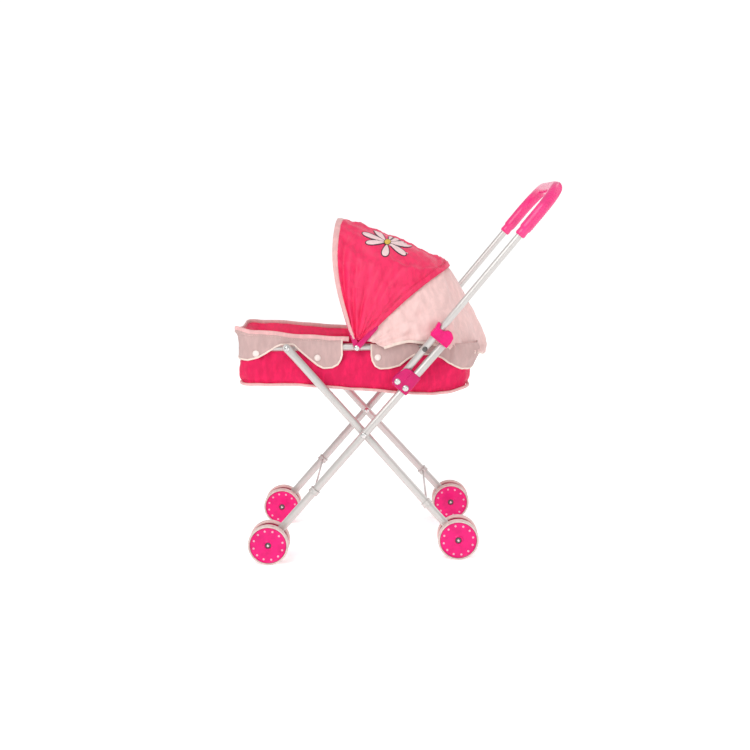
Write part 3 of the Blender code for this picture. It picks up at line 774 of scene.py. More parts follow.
def open_tube(name, path, reference, radius, sides=None):
    """A tube with open, slightly rounded ends."""
    sizes = frame_sizes()
    ways = tangents(path)
    start = hollow_end(path[0], Vector(ways[0]), radius, sizes.tube_wall)
    end = hollow_end(path[-1], -Vector(ways[-1]), radius, sizes.tube_wall)[::-1]
    rings = start + [(point, radius) for point in path[1:-1]] + end
    all_ways = np.vstack([np.repeat(ways[:1], len(start), 0), ways[1:-1], np.repeat(ways[-1:], len(end), 0)])
    radii = [size for _, size in rings]
    return sweep(name, [point for point, _ in rings], all_ways, reference, radii, radii,
                 sides or sizes.tube_sides)


def turned(name, profile, centre, outward=1.0, steps=48, axis=None):
    """A shape turned about Y. The profile is (radius, height), and heights grow outwards."""
    turn = np.linspace(0, 2 * math.pi, steps, endpoint=False)
    radii = np.array([radius for radius, _ in profile])
    heights = np.array([height for _, height in profile])
    places = np.stack([radii[:, None] * np.cos(turn), np.repeat(heights[:, None] * outward, steps, 1),
                       radii[:, None] * np.sin(turn)], -1)
    closed = profile[0][0] > 0.0
    lengths = np.concatenate([[0.0], np.cumsum(np.hypot(np.diff(radii), np.diff(heights)))])
    uv = np.zeros((len(profile) + 1, steps + 1, 2))
    uv[: len(profile), :, 0] = (lengths / lengths[-1])[:, None]
    uv[len(profile), :, 0] = 1.0
    uv[..., 1] = np.linspace(0, 1, steps + 1)
    mesh = grid_mesh(name, places, (closed, True), uv)
    if axis is not None:
        mesh.transform(ACROSS.rotation_difference(Vector(axis)).to_matrix().to_4x4())
    mesh.transform(Matrix.Translation(Vector(centre)))
    return tidy_mesh(mesh)


def looped(profile, radius, steps=3):
    """A closed profile with every corner rounded."""
    flat = [Vector((x, y, 0.0)) for x, y in profile]
    middle_point = (flat[0] + flat[-1]) / 2
    path = rounded_path([middle_point] + flat + [middle_point], radius, steps)
    return [(point.x, point.y) for point in path[:-1]]


# ---- Geometry Nodes -------------------------------------------------------------------------


def geometry_tree(name, sizes):
    """A tree with a Geometry input, the given float inputs and a Material input."""
    group = bpy.data.node_groups.new(name, "GeometryNodeTree")
    group.interface.new_socket("Geometry", in_out="OUTPUT", socket_type="NodeSocketGeometry")
    group.interface.new_socket("Geometry", in_out="INPUT", socket_type="NodeSocketGeometry")
    for key, value in sizes.items():
        kind = "NodeSocketInt" if isinstance(value, int) else "NodeSocketFloat"
        kind = "NodeSocketVector" if isinstance(value, tuple) else kind
        socket = group.interface.new_socket(key, in_out="INPUT", socket_type=kind)
        socket.default_value = value
    group.interface.new_socket("Material", in_out="INPUT", socket_type="NodeSocketMaterial")
    tree = Tree(group)
    return tree, tree.add("NodeGroupInput").outputs, tree.add("NodeGroupOutput")


def end_tree(tree, given, result, geometry):
    """Realize the instances, shade them and set their material."""
    real = tree.add("GeometryNodeRealizeInstances", {}, {0: geometry})
    soft = tree.add("GeometryNodeSetShadeSmooth", {}, {0: real.outputs[0]})
    painted = tree.add("GeometryNodeSetMaterial", {}, {"Geometry": soft.outputs[0],
                                                       "Material": given["Material"]})
    tree.fill(result.inputs[0], painted.outputs[0])


def grown(name, seed, tree, finish, **sizes):
    """Run a tree on a seed mesh and return the plain mesh."""
    made = temporary(name, seed)
    modifier = made.modifiers.new("grow", "NODES")
    modifier.node_group = tree.tree
    values = {key.replace("_", " "): value for key, value in sizes.items()}
    values["Material"] = look(finish)
    for socket in tree.tree.interface.items_tree:
        if socket.in_out == "INPUT" and socket.name in values:
            modifier[socket.identifier] = values[socket.name]
    mesh = settle(made)
    mesh.name = name
    return mesh


def domes_tree():
    """A domed head on a short skirt at each point, facing the way that the point says."""
    tree, given, result = geometry_tree("domed_heads", {"Radius": 0.004, "Height": 0.0016,
                                                        "Skirt": 0.0008, "Crown": 0.62})
    ball = tree.add("GeometryNodeMeshUVSphere", {}, {"Segments": 28, "Rings": 14, "Radius": 1.0})
    radius = Value(tree, given["Radius"])
    crown = radius * Value(tree, given["Crown"])
    dome_size = tree.add("ShaderNodeCombineXYZ", {}, {0: radius, 1: radius, 2: given["Height"]})
    dome = tree.add("GeometryNodeTransform", {}, {"Geometry": ball.outputs[0], "Scale": dome_size.outputs[0]})
    disc = tree.add("GeometryNodeMeshCylinder", {}, {"Vertices": 28, "Radius": radius * 1.04,
                                                     "Depth": Value(tree, given["Skirt"]) * 2.0})
    top_size = tree.add("ShaderNodeCombineXYZ", {}, {0: crown, 1: crown,
                                                     2: Value(tree, given["Height"]) * 1.25})
    top = tree.add("GeometryNodeTransform", {}, {"Geometry": ball.outputs[0], "Scale": top_size.outputs[0]})
    join = tree.add("GeometryNodeJoinGeometry")
    for piece in (dome, disc, top):
        tree.fill(join.inputs[0], piece.outputs[0])
    turn = tree.add("GeometryNodeInputNamedAttribute", {"data_type": "FLOAT_VECTOR"}, {"Name": "turn"})
    size = tree.add("GeometryNodeInputNamedAttribute", {"data_type": "FLOAT"}, {"Name": "size"})
    heads = tree.add("GeometryNodeInstanceOnPoints", {}, {
        "Points": given["Geometry"], "Instance": join.outputs[0], "Rotation": turn.outputs[0],
        "Scale": size.outputs[0]})
    end_tree(tree, given, result, heads.outputs[0])
    return tree


def pips_tree():
    """A ring of low round dots, facing +Y."""
    tree, given, result = geometry_tree("wheel_dots", {"Count": 12, "Ring": 0.0222, "Radius": 0.0017,
                                                       "Height": 0.0006})
    ring = tree.add("GeometryNodeMeshCircle", {}, {"Vertices": given["Count"], "Radius": given["Ring"]})
    ball = tree.add("GeometryNodeMeshUVSphere", {}, {"Segments": 16, "Rings": 8, "Radius": 1.0})
    size = tree.add("ShaderNodeCombineXYZ", {}, {0: given["Radius"], 1: given["Radius"], 2: given["Height"]})
    dots = tree.add("GeometryNodeInstanceOnPoints", {}, {"Points": ring.outputs[0],
                                                         "Instance": ball.outputs[0],
                                                         "Scale": size.outputs[0]})
    face = tree.add("GeometryNodeTransform", {}, {"Geometry": dots.outputs[0],
                                                  "Rotation": (-math.pi / 2, 0.0, 0.0)})
    end_tree(tree, given, result, face.outputs[0])
    return tree


def along_tree(name, sizes, instance):
    """Copies of a small shape along a path, upright to a given direction."""
    sizes = {"Pitch": 0.003, "Facing": (0.0, 0.0, 1.0), **sizes}
    tree, given, result = geometry_tree(name, sizes)
    curve = tree.add("GeometryNodeMeshToCurve", {}, {0: given["Geometry"]})
    spots = tree.add("GeometryNodeCurveToPoints", {"mode": "LENGTH"}, {"Curve": curve.outputs[0],
                                                                       "Length": given["Pitch"]})
    first = tree.add("FunctionNodeAlignRotationToVector", {"axis": "Z"}, {"Vector": spots.outputs["Tangent"]})
    second = tree.add("FunctionNodeAlignRotationToVector", {"axis": "X", "pivot_axis": "Z"},
                      {"Rotation": first.outputs[0], "Vector": given["Facing"]})
    copies = tree.add("GeometryNodeInstanceOnPoints", {}, {
        "Points": spots.outputs["Points"], "Instance": instance(tree, given), "Rotation": second.outputs[0]})
    end_tree(tree, given, result, copies.outputs[0])
    return tree


def rib_shape(tree, given):
    """Part of a ring, as thick as a rib."""
    arc = tree.add("GeometryNodeCurveArc", {}, {"Resolution": 22, "Radius": given["Radius"],
                                                "Start Angle": -math.radians(98.0),
                                                "Sweep Angle": math.radians(196.0)})
    cord = tree.add("GeometryNodeCurvePrimitiveCircle", {}, {"Resolution": 8, "Radius": given["Rib"]})
    rib = tree.add("GeometryNodeCurveToMesh", {}, {"Curve": arc.outputs[0], "Profile Curve": cord.outputs[0],
                                                   "Fill Caps": True})
    return rib.outputs[0]


def stitch_shape(tree, given):
    """One short stitch."""
    ball = tree.add("GeometryNodeMeshUVSphere", {}, {"Segments": 6, "Rings": 5, "Radius": 1.0})
    size = tree.add("ShaderNodeCombineXYZ", {}, {0: given["Thread"], 1: given["Thread"], 2: given["Stitch"]})
    stitch = tree.add("GeometryNodeTransform", {}, {"Geometry": ball.outputs[0], "Scale": size.outputs[0]})
    return stitch.outputs[0]


TREES = {}


def tree_of(name):
    """A geometry tree, built once."""
    if name not in TREES:
        TREES[name] = {
            "domes": domes_tree,
            "pips": pips_tree,
            "ribs": lambda: along_tree("grip_ribs", {"Radius": 0.0084, "Rib": 0.001}, rib_shape),
            "stitches": lambda: along_tree("stitches", {"Thread": 0.0003, "Stitch": 0.0009}, stitch_shape),
        }[name]()
    return TREES[name]


def points_mesh(name, spots):
    """Loose points, each a place, an outward direction and a size."""
    mesh = bpy.data.meshes.new(name)
    mesh.from_pydata([tuple(place) for place, _, _ in spots], [], [])
    turns = [tuple(UP.rotation_difference(Vector(way)).to_euler()) for _, way, _ in spots]
    turn = mesh.attributes.new("turn", "FLOAT_VECTOR", "POINT")
    turn.data.foreach_set("vector", np.array(turns, np.float32).reshape(-1))
    size = mesh.attributes.new("size", "FLOAT", "POINT")
    size.data.foreach_set("value", np.array([scale for _, _, scale in spots], np.float32))
    return mesh


def line_mesh(name, path, closed=False):
    """A chain of edges through points."""
    mesh = bpy.data.meshes.new(name)
    count = len(path)
    edges = [(k, k + 1) for k in range(count - 1)] + ([(count - 1, 0)] if closed else [])
    mesh.from_pydata([tuple(point) for point in path], edges, [])
    return mesh


def stitches(name, path, facing=(0.0, 1.0, 0.0), finish="pale_thread", closed=False):
    """A row of stitches along a path."""
    return grown(name, line_mesh(name, path, closed), tree_of("stitches"), finish,
                 Pitch=cloth_sizes().stitch_pitch, Facing=tuple(facing), Thread=0.00028, Stitch=0.0009)


# ---- Frame: tubes, braces and rivets --------------------------------------------------------


def front_leg_path(sign):
    """From under the axle to the end inside the lock."""
    y = sign * LEG_Y
    start = FRONT_AXLE - FRONT_WAY * TUBE_OVERHANG
    end = FRONT_AXLE + FRONT_WAY * FRONT_LEG_LENGTH
    return [Vector((point.x, y, point.z)) for point in (start, start.lerp(end, 0.5), end)]


def at_y(point, y):
    """A side-view point at a distance from the middle plane."""
    return Vector((point.x, y, point.z))


def rear_leg_corners(sign):
    """Corners of the rear leg: its top, its knee under the crossing, and its foot."""
    down = (REAR_AXLE - CROSS).normalized()
    top = TOE + (TOE - CROSS).normalized() * TUBE_OVERHANG
    return (at_y(top, sign * INNER_LEG_Y), at_y(CROSS + down * 0.010, sign * INNER_LEG_Y),
            at_y(REAR_AXLE - down * 0.045, sign * LEG_Y), at_y(REAR_AXLE + down * TUBE_OVERHANG, sign * LEG_Y))


def rear_leg_mesh(name, sign):
    """Rear leg with its top end pressed flat and rounded for the toe rivet."""
    sizes = frame_sizes()
    path = rounded_path(rear_leg_corners(sign), 0.05)
    top, way = path[0], (path[1] - path[0]).normalized()
    pressed = []
    for step in range(9):
        inset = LEG_RADIUS * (1.0 - math.cos(math.pi / 2 * step / 8))
        pressed.append((top + way * inset, LEG_RADIUS * 1.06 * math.sin(math.pi / 2 * step / 8), 0.6))
    pressed[0] = (top, 0.0006, 0.3)
    for inset, wide, flat in ((0.010, 1.05, 0.62), (0.014, 1.04, 0.7), (0.018, 1.02, 0.84), (0.023, 1.0, 1.0)):
        pressed.append((top + way * inset, LEG_RADIUS * wide, flat))
    wide = [size for _, size, _ in pressed] + [LEG_RADIUS] * (len(path) - 2)
    high = [LEG_RADIUS * flat * (0.25 if k == 0 else 1.0) for k, (_, _, flat) in enumerate(pressed)]
    high += [LEG_RADIUS] * (len(path) - 2)
    points = [point for point, _, _ in pressed] + path[1:-1]
    end = hollow_end(path[-1], (path[-2] - path[-1]).normalized(), LEG_RADIUS, sizes.tube_wall)[::-1]
    ways = tangents([path[0]] * 0 + points + [path[-1]])[: len(points)]
    ways = np.vstack([ways, np.repeat([tuple((path[-1] - path[-2]).normalized())], len(end), 0)])
    wide += [size for _, size in end]
    high += [size for _, size in end]
    return sweep(name, points + [point for point, _ in end], ways, ACROSS, wide, high, sizes.tube_sides)


def handle_path(start, bend_steps=14):
    """U path of the handle: up one leg, round two bends and down the other."""
    flat = [(start, -LEG_Y), ((start + HANDLE_LENGTH - HANDLE_BEND) / 2, -LEG_Y)]
    for step in range(bend_steps + 1):
        turn = math.pi / 2 * step / bend_steps
        flat.append((HANDLE_LENGTH - HANDLE_BEND * (1 - math.sin(turn)),
                     -LEG_Y + HANDLE_BEND * (1 - math.cos(turn))))
    flat += [(distance, -y) for distance, y in reversed(flat)]
    return [at_y(FOLD + HANDLE_WAY * distance, y) for distance, y in flat]


def rounded_loop(low_x, high_x, half_y, corner, spacing=0.003):
    """Evenly spaced points of a rectangle with round corners, with outward directions."""
    points = []
    centres = ((high_x - corner, half_y - corner), (low_x + corner, half_y - corner),
               (low_x + corner, corner - half_y), (high_x - corner, corner - half_y))
    for quarter, (x, y) in enumerate(centres):
        for step in range(25):
            turn = math.pi / 2 * (quarter + step / 24)
            points.append((x + corner * math.cos(turn), y + corner * math.sin(turn)))
    points = np.array(points + points[:1])
    run = np.concatenate([[0.0], np.cumsum(np.linalg.norm(np.diff(points, axis=0), axis=1))])
    count = int(round(run[-1] / spacing))
    stations = np.linspace(0.0, run[-1], count, endpoint=False)
    flat = np.stack([np.interp(stations, run, points[:, k]) for k in (0, 1)], -1)
    way = np.roll(flat, -1, axis=0) - np.roll(flat, 1, axis=0)
    way /= np.linalg.norm(way, axis=1)[:, None]
    return flat, np.stack([way[:, 1], -way[:, 0]], -1)


class STROLLER_OT_tubes(bpy.types.Operator):
    """Make the legs, the handle's tube, the rail and the braces"""

    bl_idname = "stroller.tubes"
    bl_label = "Tubes"

    def execute(self, context):
        for name, sign in SIDES:
            leg = "front_leg_" + name
            show(leg + "_tube", open_tube(leg, front_leg_path(sign), ACROSS, LEG_RADIUS), "lacquered_tube",
                 "front_frame", (leg,))
            leg = "rear_leg_" + name
            show(leg + "_tube", rear_leg_mesh(leg, sign), "lacquered_tube", "rear_frame", (leg,))
        path = handle_path(-0.0065)
        show("push_handle_tube", open_tube("push_handle", path, UNDER_HANDLE, HANDLE_RADIUS),
             "lacquered_tube", "handle", ("handle_tube",))
        flat, _ = rounded_loop(RAIL_FRONT, RAIL_REAR, RAIL_Y, RAIL_CORNER, 0.004)
        loop = transformed(np.column_stack([flat, np.zeros(len(flat))]), RAIL_FRAME)
        rail = sweep("rail", loop, tangents(loop, True), RAIL_FRAME.to_3x3() @ UP, RAIL_RADIUS, RAIL_RADIUS,
                     24, closed=True)
        show("bassinet_rail_tube", rail, "lacquered_tube", "bassinet", ("bassinet_rail",))
        self.brace("front_brace", "front_frame")
        self.brace("rear_brace", "rear_frame")
        return {"FINISHED"}

    def brace(self, node, body):
        """Thin rod with slightly rounded ends, in its node's place."""
        low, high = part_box(node)
        radius = (high[2] - low[2]) / 2
        centre = middle(node)
        ends = [Vector((centre.x, y, centre.z)) for y in (low[1], 0.0, high[1])]
        ring = [ends[0], ends[0] + ACROSS * 0.0004, ends[1], ends[2] - ACROSS * 0.0004, ends[2]]
        sizes = [radius * 0.7, radius, radius, radius, radius * 0.7]
        ways = np.repeat([tuple(ACROSS)], len(ring), 0)
        rod = sweep(node, ring, ways, UP, sizes, sizes, 16)
        show(node + "_rod", rod, "lacquered_tube", body, (node,))


def clip_mesh(name, node, way):
    """Moulded collar with two lips, in its node's place."""
    inner = LEG_RADIUS + GAP
    outer = inner + 0.0018
    profile = ((inner, -0.004), (outer, -0.004), (outer, -0.0024), (outer - 0.0005, -0.0020),
               (outer - 0.0005, 0.0020), (outer, 0.0024), (outer, 0.004), (inner, 0.004))
    return turned(name, looped(profile, 0.0004, 2), middle(node), 1.0, 36, way)


class STROLLER_OT_clips(bpy.types.Operator):
    """Make the collars that hold the braces on the legs"""

    bl_idname = "stroller.clips"
    bl_label = "Brace clips"

    def execute(self, context):
        for name, sign in SIDES:
            node = "front_brace_clip_" + name
            show(node + "_collar", clip_mesh(node, node, FRONT_WAY), "lacquered_tube", "front_frame",
                 (node,))
            corners = rear_leg_corners(sign)
            node = "rear_brace_clip_" + name
            show(node + "_collar", clip_mesh(node, node, corners[1] - corners[2]), "lacquered_tube",
                 "rear_frame", (node,))
        return {"FINISHED"}


def both_sides(place, y, scale=1.0):
    """The same head on both sides, facing away from the middle."""
    return [(at_y(place, sign * y), (0.0, sign, 0.0), scale) for _, sign in SIDES]


def both_faces(place, out_y, in_y, scale=1.0):
    """Heads on both ends of both rivets."""
    inside = [(at_y(place, sign * in_y), (0.0, -sign, 0.0), scale) for _, sign in SIDES]
    return both_sides(place, out_y, scale) + inside


class STROLLER_OT_rivets(bpy.types.Operator):
    """Make the domed rivet heads and the shanks between the moving parts"""

    bl_idname = "stroller.rivets"
    bl_label = "Rivets"

    def execute(self, context):
        cheek_out = LEG_Y + LEG_RADIUS + GAP + CHEEK
        cheek_in = LEG_Y - LEG_RADIUS - GAP - CHEEK
        bracket_rivet = FRONT_AXLE + FRONT_WAY * BRACKET_RIVET_AT
        frame_heads = both_faces(CROSS, LEG_Y + LEG_RADIUS, INNER_LEG_Y - LEG_RADIUS, 1.0)
        frame_heads += both_faces(FOLD, cheek_out, cheek_in, 1.05)
        frame_heads += both_faces(bracket_rivet, cheek_out, cheek_in, 1.05)
        nodes = ["%s_%s" % (kind, name) for kind in ("cross_rivet", "fold_rivet", "bracket_rivet")
                 for name, _ in SIDES]
        self.heads("frame_rivets", frame_heads, "bright_rivet", "front_frame", "rivet", nodes)
        toe = both_faces(TOE, INNER_LEG_Y + LEG_RADIUS * 0.6, INNER_LEG_Y - LEG_RADIUS * 0.6, 0.95)
        self.heads("toe_rivets", toe, "bright_rivet", "rear_frame", "rivet",
                   ["toe_rivet_" + name for name, _ in SIDES])
        handle = both_sides(HEAD, LEG_Y + HANDLE_RADIUS, 0.9)
        self.heads("handle_rivets", handle, "dark_rivet", "handle", "dark_plastic",
                   ["handle_bush_" + name for name, _ in SIDES])
        hood = both_sides(HOOD, 0.0935, 1.0)
        self.heads("hood_rivets", hood, "bright_rivet", "bassinet", "rivet",
                   ["canopy_rivet_" + name for name, _ in SIDES])
        return {"FINISHED"}

    def heads(self, name, spots, finish, body, slot, nodes):
        """One mesh of heads for each body, with the shanks behind them."""
        sizes = frame_sizes()
        heads = grown(name, points_mesh(name, spots), tree_of("domes"), finish, Radius=sizes.rivet_head,
                      Height=sizes.rivet_height, Skirt=0.0005, Crown=0.6)
        show(name, heads, finish, body, nodes)
        shanks = []
        for node in nodes:
            low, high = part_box(node)
            centre = middle(node)
            half = (high[1] - low[1]) / 2 - 0.0016
            profile = ((0.0, half), (PIN_RADIUS, half), (PIN_RADIUS, -half), (0.0, -half))
            shanks.append(turned(node, profile, centre, 1.0, 20))
            if node.startswith("handle_bush"):
                shanks.append(self.collar(node, 1.0 if centre.y > 0 else -1.0))
        show(name + "_shanks", joined(name, shanks), finish, body)

    def collar(self, node, sign):
        """Spacer between the handle and the rail."""
        far = LEG_Y - HANDLE_RADIUS - GAP
        near = RAIL_Y + RAIL_RADIUS + GAP
        profile = ((PIN_RADIUS, near), (0.0040, near), (0.0040, far), (PIN_RADIUS, far))
        return turned(node, looped(profile, 0.0004, 2), at_y(HEAD, 0.0), sign, 32)


# ---- Wheels ---------------------------------------------------------------------------------


def wheel_parts():
    """Every wheel: its name, the body, its axle's end, its side and which way it faces."""
    for end, axle in (("front", FRONT_AXLE), ("rear", REAR_AXLE)):
        for name, sign in SIDES:
            for where, facing in (("outer", sign), ("inner", -sign)):
                centre = at_y(axle, sign * LEG_Y + facing * (WHEEL_GAP + WHEEL_WIDTH) / 2)
                yield "wheel_%s_%s_%s" % (end, name, where), centre, facing


def rim_mesh(name, centre, facing):
    """Rim with a crowned tread between two shallow grooves."""
    half = WHEEL_WIDTH / 2
    inner = WHEEL_RADIUS - RIM_THICKNESS
    profile = ((inner, -half + 0.0006), (inner + 0.0008, -half), (WHEEL_RADIUS - 0.0011, -half),
               (WHEEL_RADIUS - 0.0002, -half + 0.0012), (WHEEL_RADIUS - 0.0004, -half + 0.0024),
               (WHEEL_RADIUS - 0.0009, -half + 0.0028), (WHEEL_RADIUS - 0.0001, -half + 0.0033),
               (WHEEL_RADIUS, 0.0), (WHEEL_RADIUS - 0.0001, half - 0.0033),
               (WHEEL_RADIUS - 0.0009, half - 0.0028), (WHEEL_RADIUS - 0.0004, half - 0.0024),
               (WHEEL_RADIUS - 0.0002, half - 0.0012), (WHEEL_RADIUS - 0.0011, half),
               (inner + 0.0008, half), (inner, half - 0.0006))
    return turned(name, looped(profile, 0.0005, 2), centre, facing, wheel_sizes().steps)


def disc_mesh(name, centre, facing):
    """Dished disc: a raised border, a flat face for the dots and a recess round the nut."""
    half = WHEEL_WIDTH / 2
    edge = WHEEL_RADIUS - RIM_THICKNESS - GAP
    profile = ((PIN_RADIUS + 0.0003, half - 0.0030), (0.0046, half - 0.0030), (0.0050, half - 0.0006),
               (0.0066, half - 0.0002), (0.0078, half - 0.0012), (0.0160, half - 0.0016),
               (0.0250, half - 0.0014), (0.0262, half - 0.0005), (edge - 0.0005, half - 0.0005),
               (edge, half - 0.0018), (edge, half - 0.0044), (0.0080, half - 0.0040),
               (0.0056, half - 0.0052), (0.0050, -half), (PIN_RADIUS + 0.0003, -half))
    return turned(name, looped(profile, 0.0004, 3), centre, facing, wheel_sizes().steps)


def spokes_mesh(name, centre, facing):
    """Ribs behind the disc, from the hub to its edge."""
    half = WHEEL_WIDTH / 2
    body = bmesh.new()
    for k in range(6):
        made = bmesh.ops.create_cube(body, size=1.0)["verts"]
        for vert in made:
            vert.co = Vector((0.0155 + vert.co.x * 0.020, vert.co.y * 0.0034, vert.co.z * 0.0010))
            vert.co.y += half - 0.0056
        bmesh.ops.rotate(body, verts=made, matrix=Matrix.Rotation(k * math.pi / 3, 3, "Y"))
    mesh = bpy.data.meshes.new(name)
    if facing < 0:
        bmesh.ops.rotate(body, verts=body.verts, matrix=Matrix.Rotation(math.pi, 3, "X"))
    bmesh.ops.translate(body, verts=body.verts, vec=centre)
    body.to_mesh(mesh)
    body.free()
    return mesh


class STROLLER_OT_wheels(bpy.types.Operator):
    """Make the twin wheels, their dots, nuts and axles"""

    bl_idname = "stroller.wheels"
    bl_label = "Wheels"

    def execute(self, context):
        sizes = wheel_sizes()
        dots = grown("dots", points_mesh("dots", [((0.0, 0.0, 0.0), UP, 1.0)]), tree_of("pips"),
                     "pip_plastic", Count=sizes.pips, Ring=sizes.pip_ring, Radius=sizes.pip_radius,
                     Height=0.0006)
        for name, centre, facing in wheel_parts():
            show(name + "_tyre", rim_mesh(name, centre, facing), "rim_plastic", name,
                 (name + "_rim",))
            face = joined(name, [disc_mesh(name, centre, facing), spokes_mesh(name, centre, facing)])
            face.shade_smooth()
            face.set_sharp_from_angle(angle=math.radians(50))
            show(name + "_face", face, "magenta_plastic", name, (name + "_disc",))
            ring = dots.copy()
            ring.transform(Matrix.Rotation(math.radians(10.0), 4, "Y"))
            if facing < 0:
                ring.transform(Matrix.Rotation(math.pi, 4, "Z"))
            lift = Vector((0.0, facing * (WHEEL_WIDTH / 2 - 0.0015), 0.0))
            ring.transform(Matrix.Translation(centre + lift))
            show(name + "_dots", ring, "pip_plastic", name)
        for end, axle, body in (("front", FRONT_AXLE, "front_frame"), ("rear", REAR_AXLE, "rear_frame")):
            for name, sign in SIDES:
                self.axle("axle_%s_%s" % (end, name), at_y(axle, sign * LEG_Y), body)
        return {"FINISHED"}

    def axle(self, node, centre, body):
        """Axle pin with a cap nut and a dark washer at each end."""
        reach = WHEEL_GAP / 2 + WHEEL_WIDTH
        nut = ((0.0, reach + 0.0008), (0.0012, reach + 0.0006), (0.0021, reach - 0.0002),
               (0.0024, reach - 0.0012), (0.0024, reach - 0.0024))
        pin = nut + ((PIN_RADIUS, reach - 0.0025), (PIN_RADIUS, -reach + 0.0025))
        pin += tuple((radius, -height) for radius, height in reversed(nut))
        show(node + "_pin", turned(node, pin, centre, 1.0, 32), "bright_rivet", body, (node,))
        ring = ((0.0024, reach - 0.0014), (0.0040, reach - 0.0014), (0.0043, reach - 0.0020),
                (0.0043, reach - 0.0027), (0.0024, reach - 0.0027))
        rings = [turned(node, looped(ring, 0.0002, 2), centre, way, 32) for way in (1.0, -1.0)]
        show(node + "_washers", joined(node, rings), "dark_plastic", body)


# ---- Mouldings ------------------------------------------------------------------------------


def copied_mesh(node):
    """A merged copy of a node's mesh."""
    return tidy_mesh(frame["nodes"][node].data.copy(), 1e-5)


def block(low, high, origin, way):
    """A block in a side-view frame: along way, across the part, and square to both."""
    body = bmesh.new()
    bmesh.ops.create_cube(body, size=1.0)
    low, high = Vector(low), Vector(high)
    for vert in body.verts:
        vert.co = low + Vector((vert.co[k] + 0.5) * (high[k] - low[k]) for k in range(3))
    mesh = bpy.data.meshes.new("block")
    body.to_mesh(mesh)
    body.free()
    way = Vector(way).normalized()
    square = Vector((-way.z, 0.0, way.x))
    turn = Matrix((way, ACROSS, square)).transposed().to_4x4()
    mesh.transform(Matrix.Translation(origin) @ turn)
    return mesh


def fused(name, meshes, rounds=3):
    """Melt blocks together into one softly rounded moulding."""
    made = temporary(name, joined(name, meshes))
    melt = made.modifiers.new("melt", "REMESH")
    melt.mode = "VOXEL"
    melt.voxel_size = frame_sizes().moulding_grain
    ease = made.modifiers.new("ease", "SMOOTH")
    ease.factor = 0.5
    ease.iterations = rounds
    thin = made.modifiers.new("thin", "DECIMATE")
    thin.ratio = 0.4
    mesh = settle(made)
    mesh.shade_smooth()
    return mesh


class STROLLER_OT_brackets(bpy.types.Operator):
    """Make the fold brackets, with a pair of ribs between the two tubes"""

    bl_idname = "stroller.brackets"
    bl_label = "Fold brackets"

    def execute(self, context):
        half = LEG_RADIUS + GAP + CHEEK
        for name, sign in SIDES:
            node = "fold_bracket_" + name
            origin = at_y(FRONT_AXLE + FRONT_WAY * BRACKET_AT, sign * LEG_Y)
            ribs = []
            for offset in (0.0052, 0.0086):
                for face in (-1.0, 1.0):
                    low, high = sorted((face * (half - 0.0004), face * (half + 0.0008)))
                    ribs.append(block((0.001, low, offset), (0.0155, high, offset + 0.0014), origin,
                                      FRONT_WAY))
            for face in (-1.0, 1.0):
                low, high = sorted((face * (half - 0.0004), face * (half + 0.0004)))
                ribs.append(block((-0.0166, low, -0.0074), (-0.0150, high, 0.0195), origin, FRONT_WAY))
                ribs.append(block((0.0150, low, -0.0074), (0.0166, high, 0.0125), origin, FRONT_WAY))
            mesh = fused(node, [copied_mesh(node)] + ribs)
            # Painted shade: the brackets take the darkened copy of the magenta plastic.
            show(node + "_moulding", mesh, "deep_plastic", "front_frame", (node,))
        return {"FINISHED"}


class STROLLER_OT_locks(bpy.types.Operator):
    """Make the sliding locks, with thumb ridges on their shoulders"""

    bl_idname = "stroller.locks"
    bl_label = "Sliding locks"

    def execute(self, context):
        half = LEG_RADIUS + GAP + CHEEK
        for name, sign in SIDES:
            node = "lock_slider_" + name
            origin = at_y(FOLD + HANDLE_WAY * LOCK_AT, sign * LEG_Y)
            extra = []
            for face in (-1.0, 1.0):
                low, high = sorted((face * (half - 0.0005), face * (half + 0.0007)))
                extra.append(block((0.0006, low, -0.0235), (0.0024, high, 0.0070), origin, HANDLE_WAY))
                extra.append(block((0.0050, low, -0.0215), (0.0165, high, -0.0085), origin, HANDLE_WAY))
                extra.append(block((0.0050, low, -0.0042), (0.0135, high, 0.0055), origin, HANDLE_WAY))
            for step in range(3):
                start = 0.0030 + step * 0.0030
                extra.append(block((start, -half + 0.002, 0.0072), (start + 0.0013, half - 0.002, 0.0088),
                                   origin, HANDLE_WAY))
            mesh = fused(node, [copied_mesh(node)] + extra)
            show(node + "_moulding", mesh, "magenta_plastic", "lock_" + name, (node,))
        return {"FINISHED"}


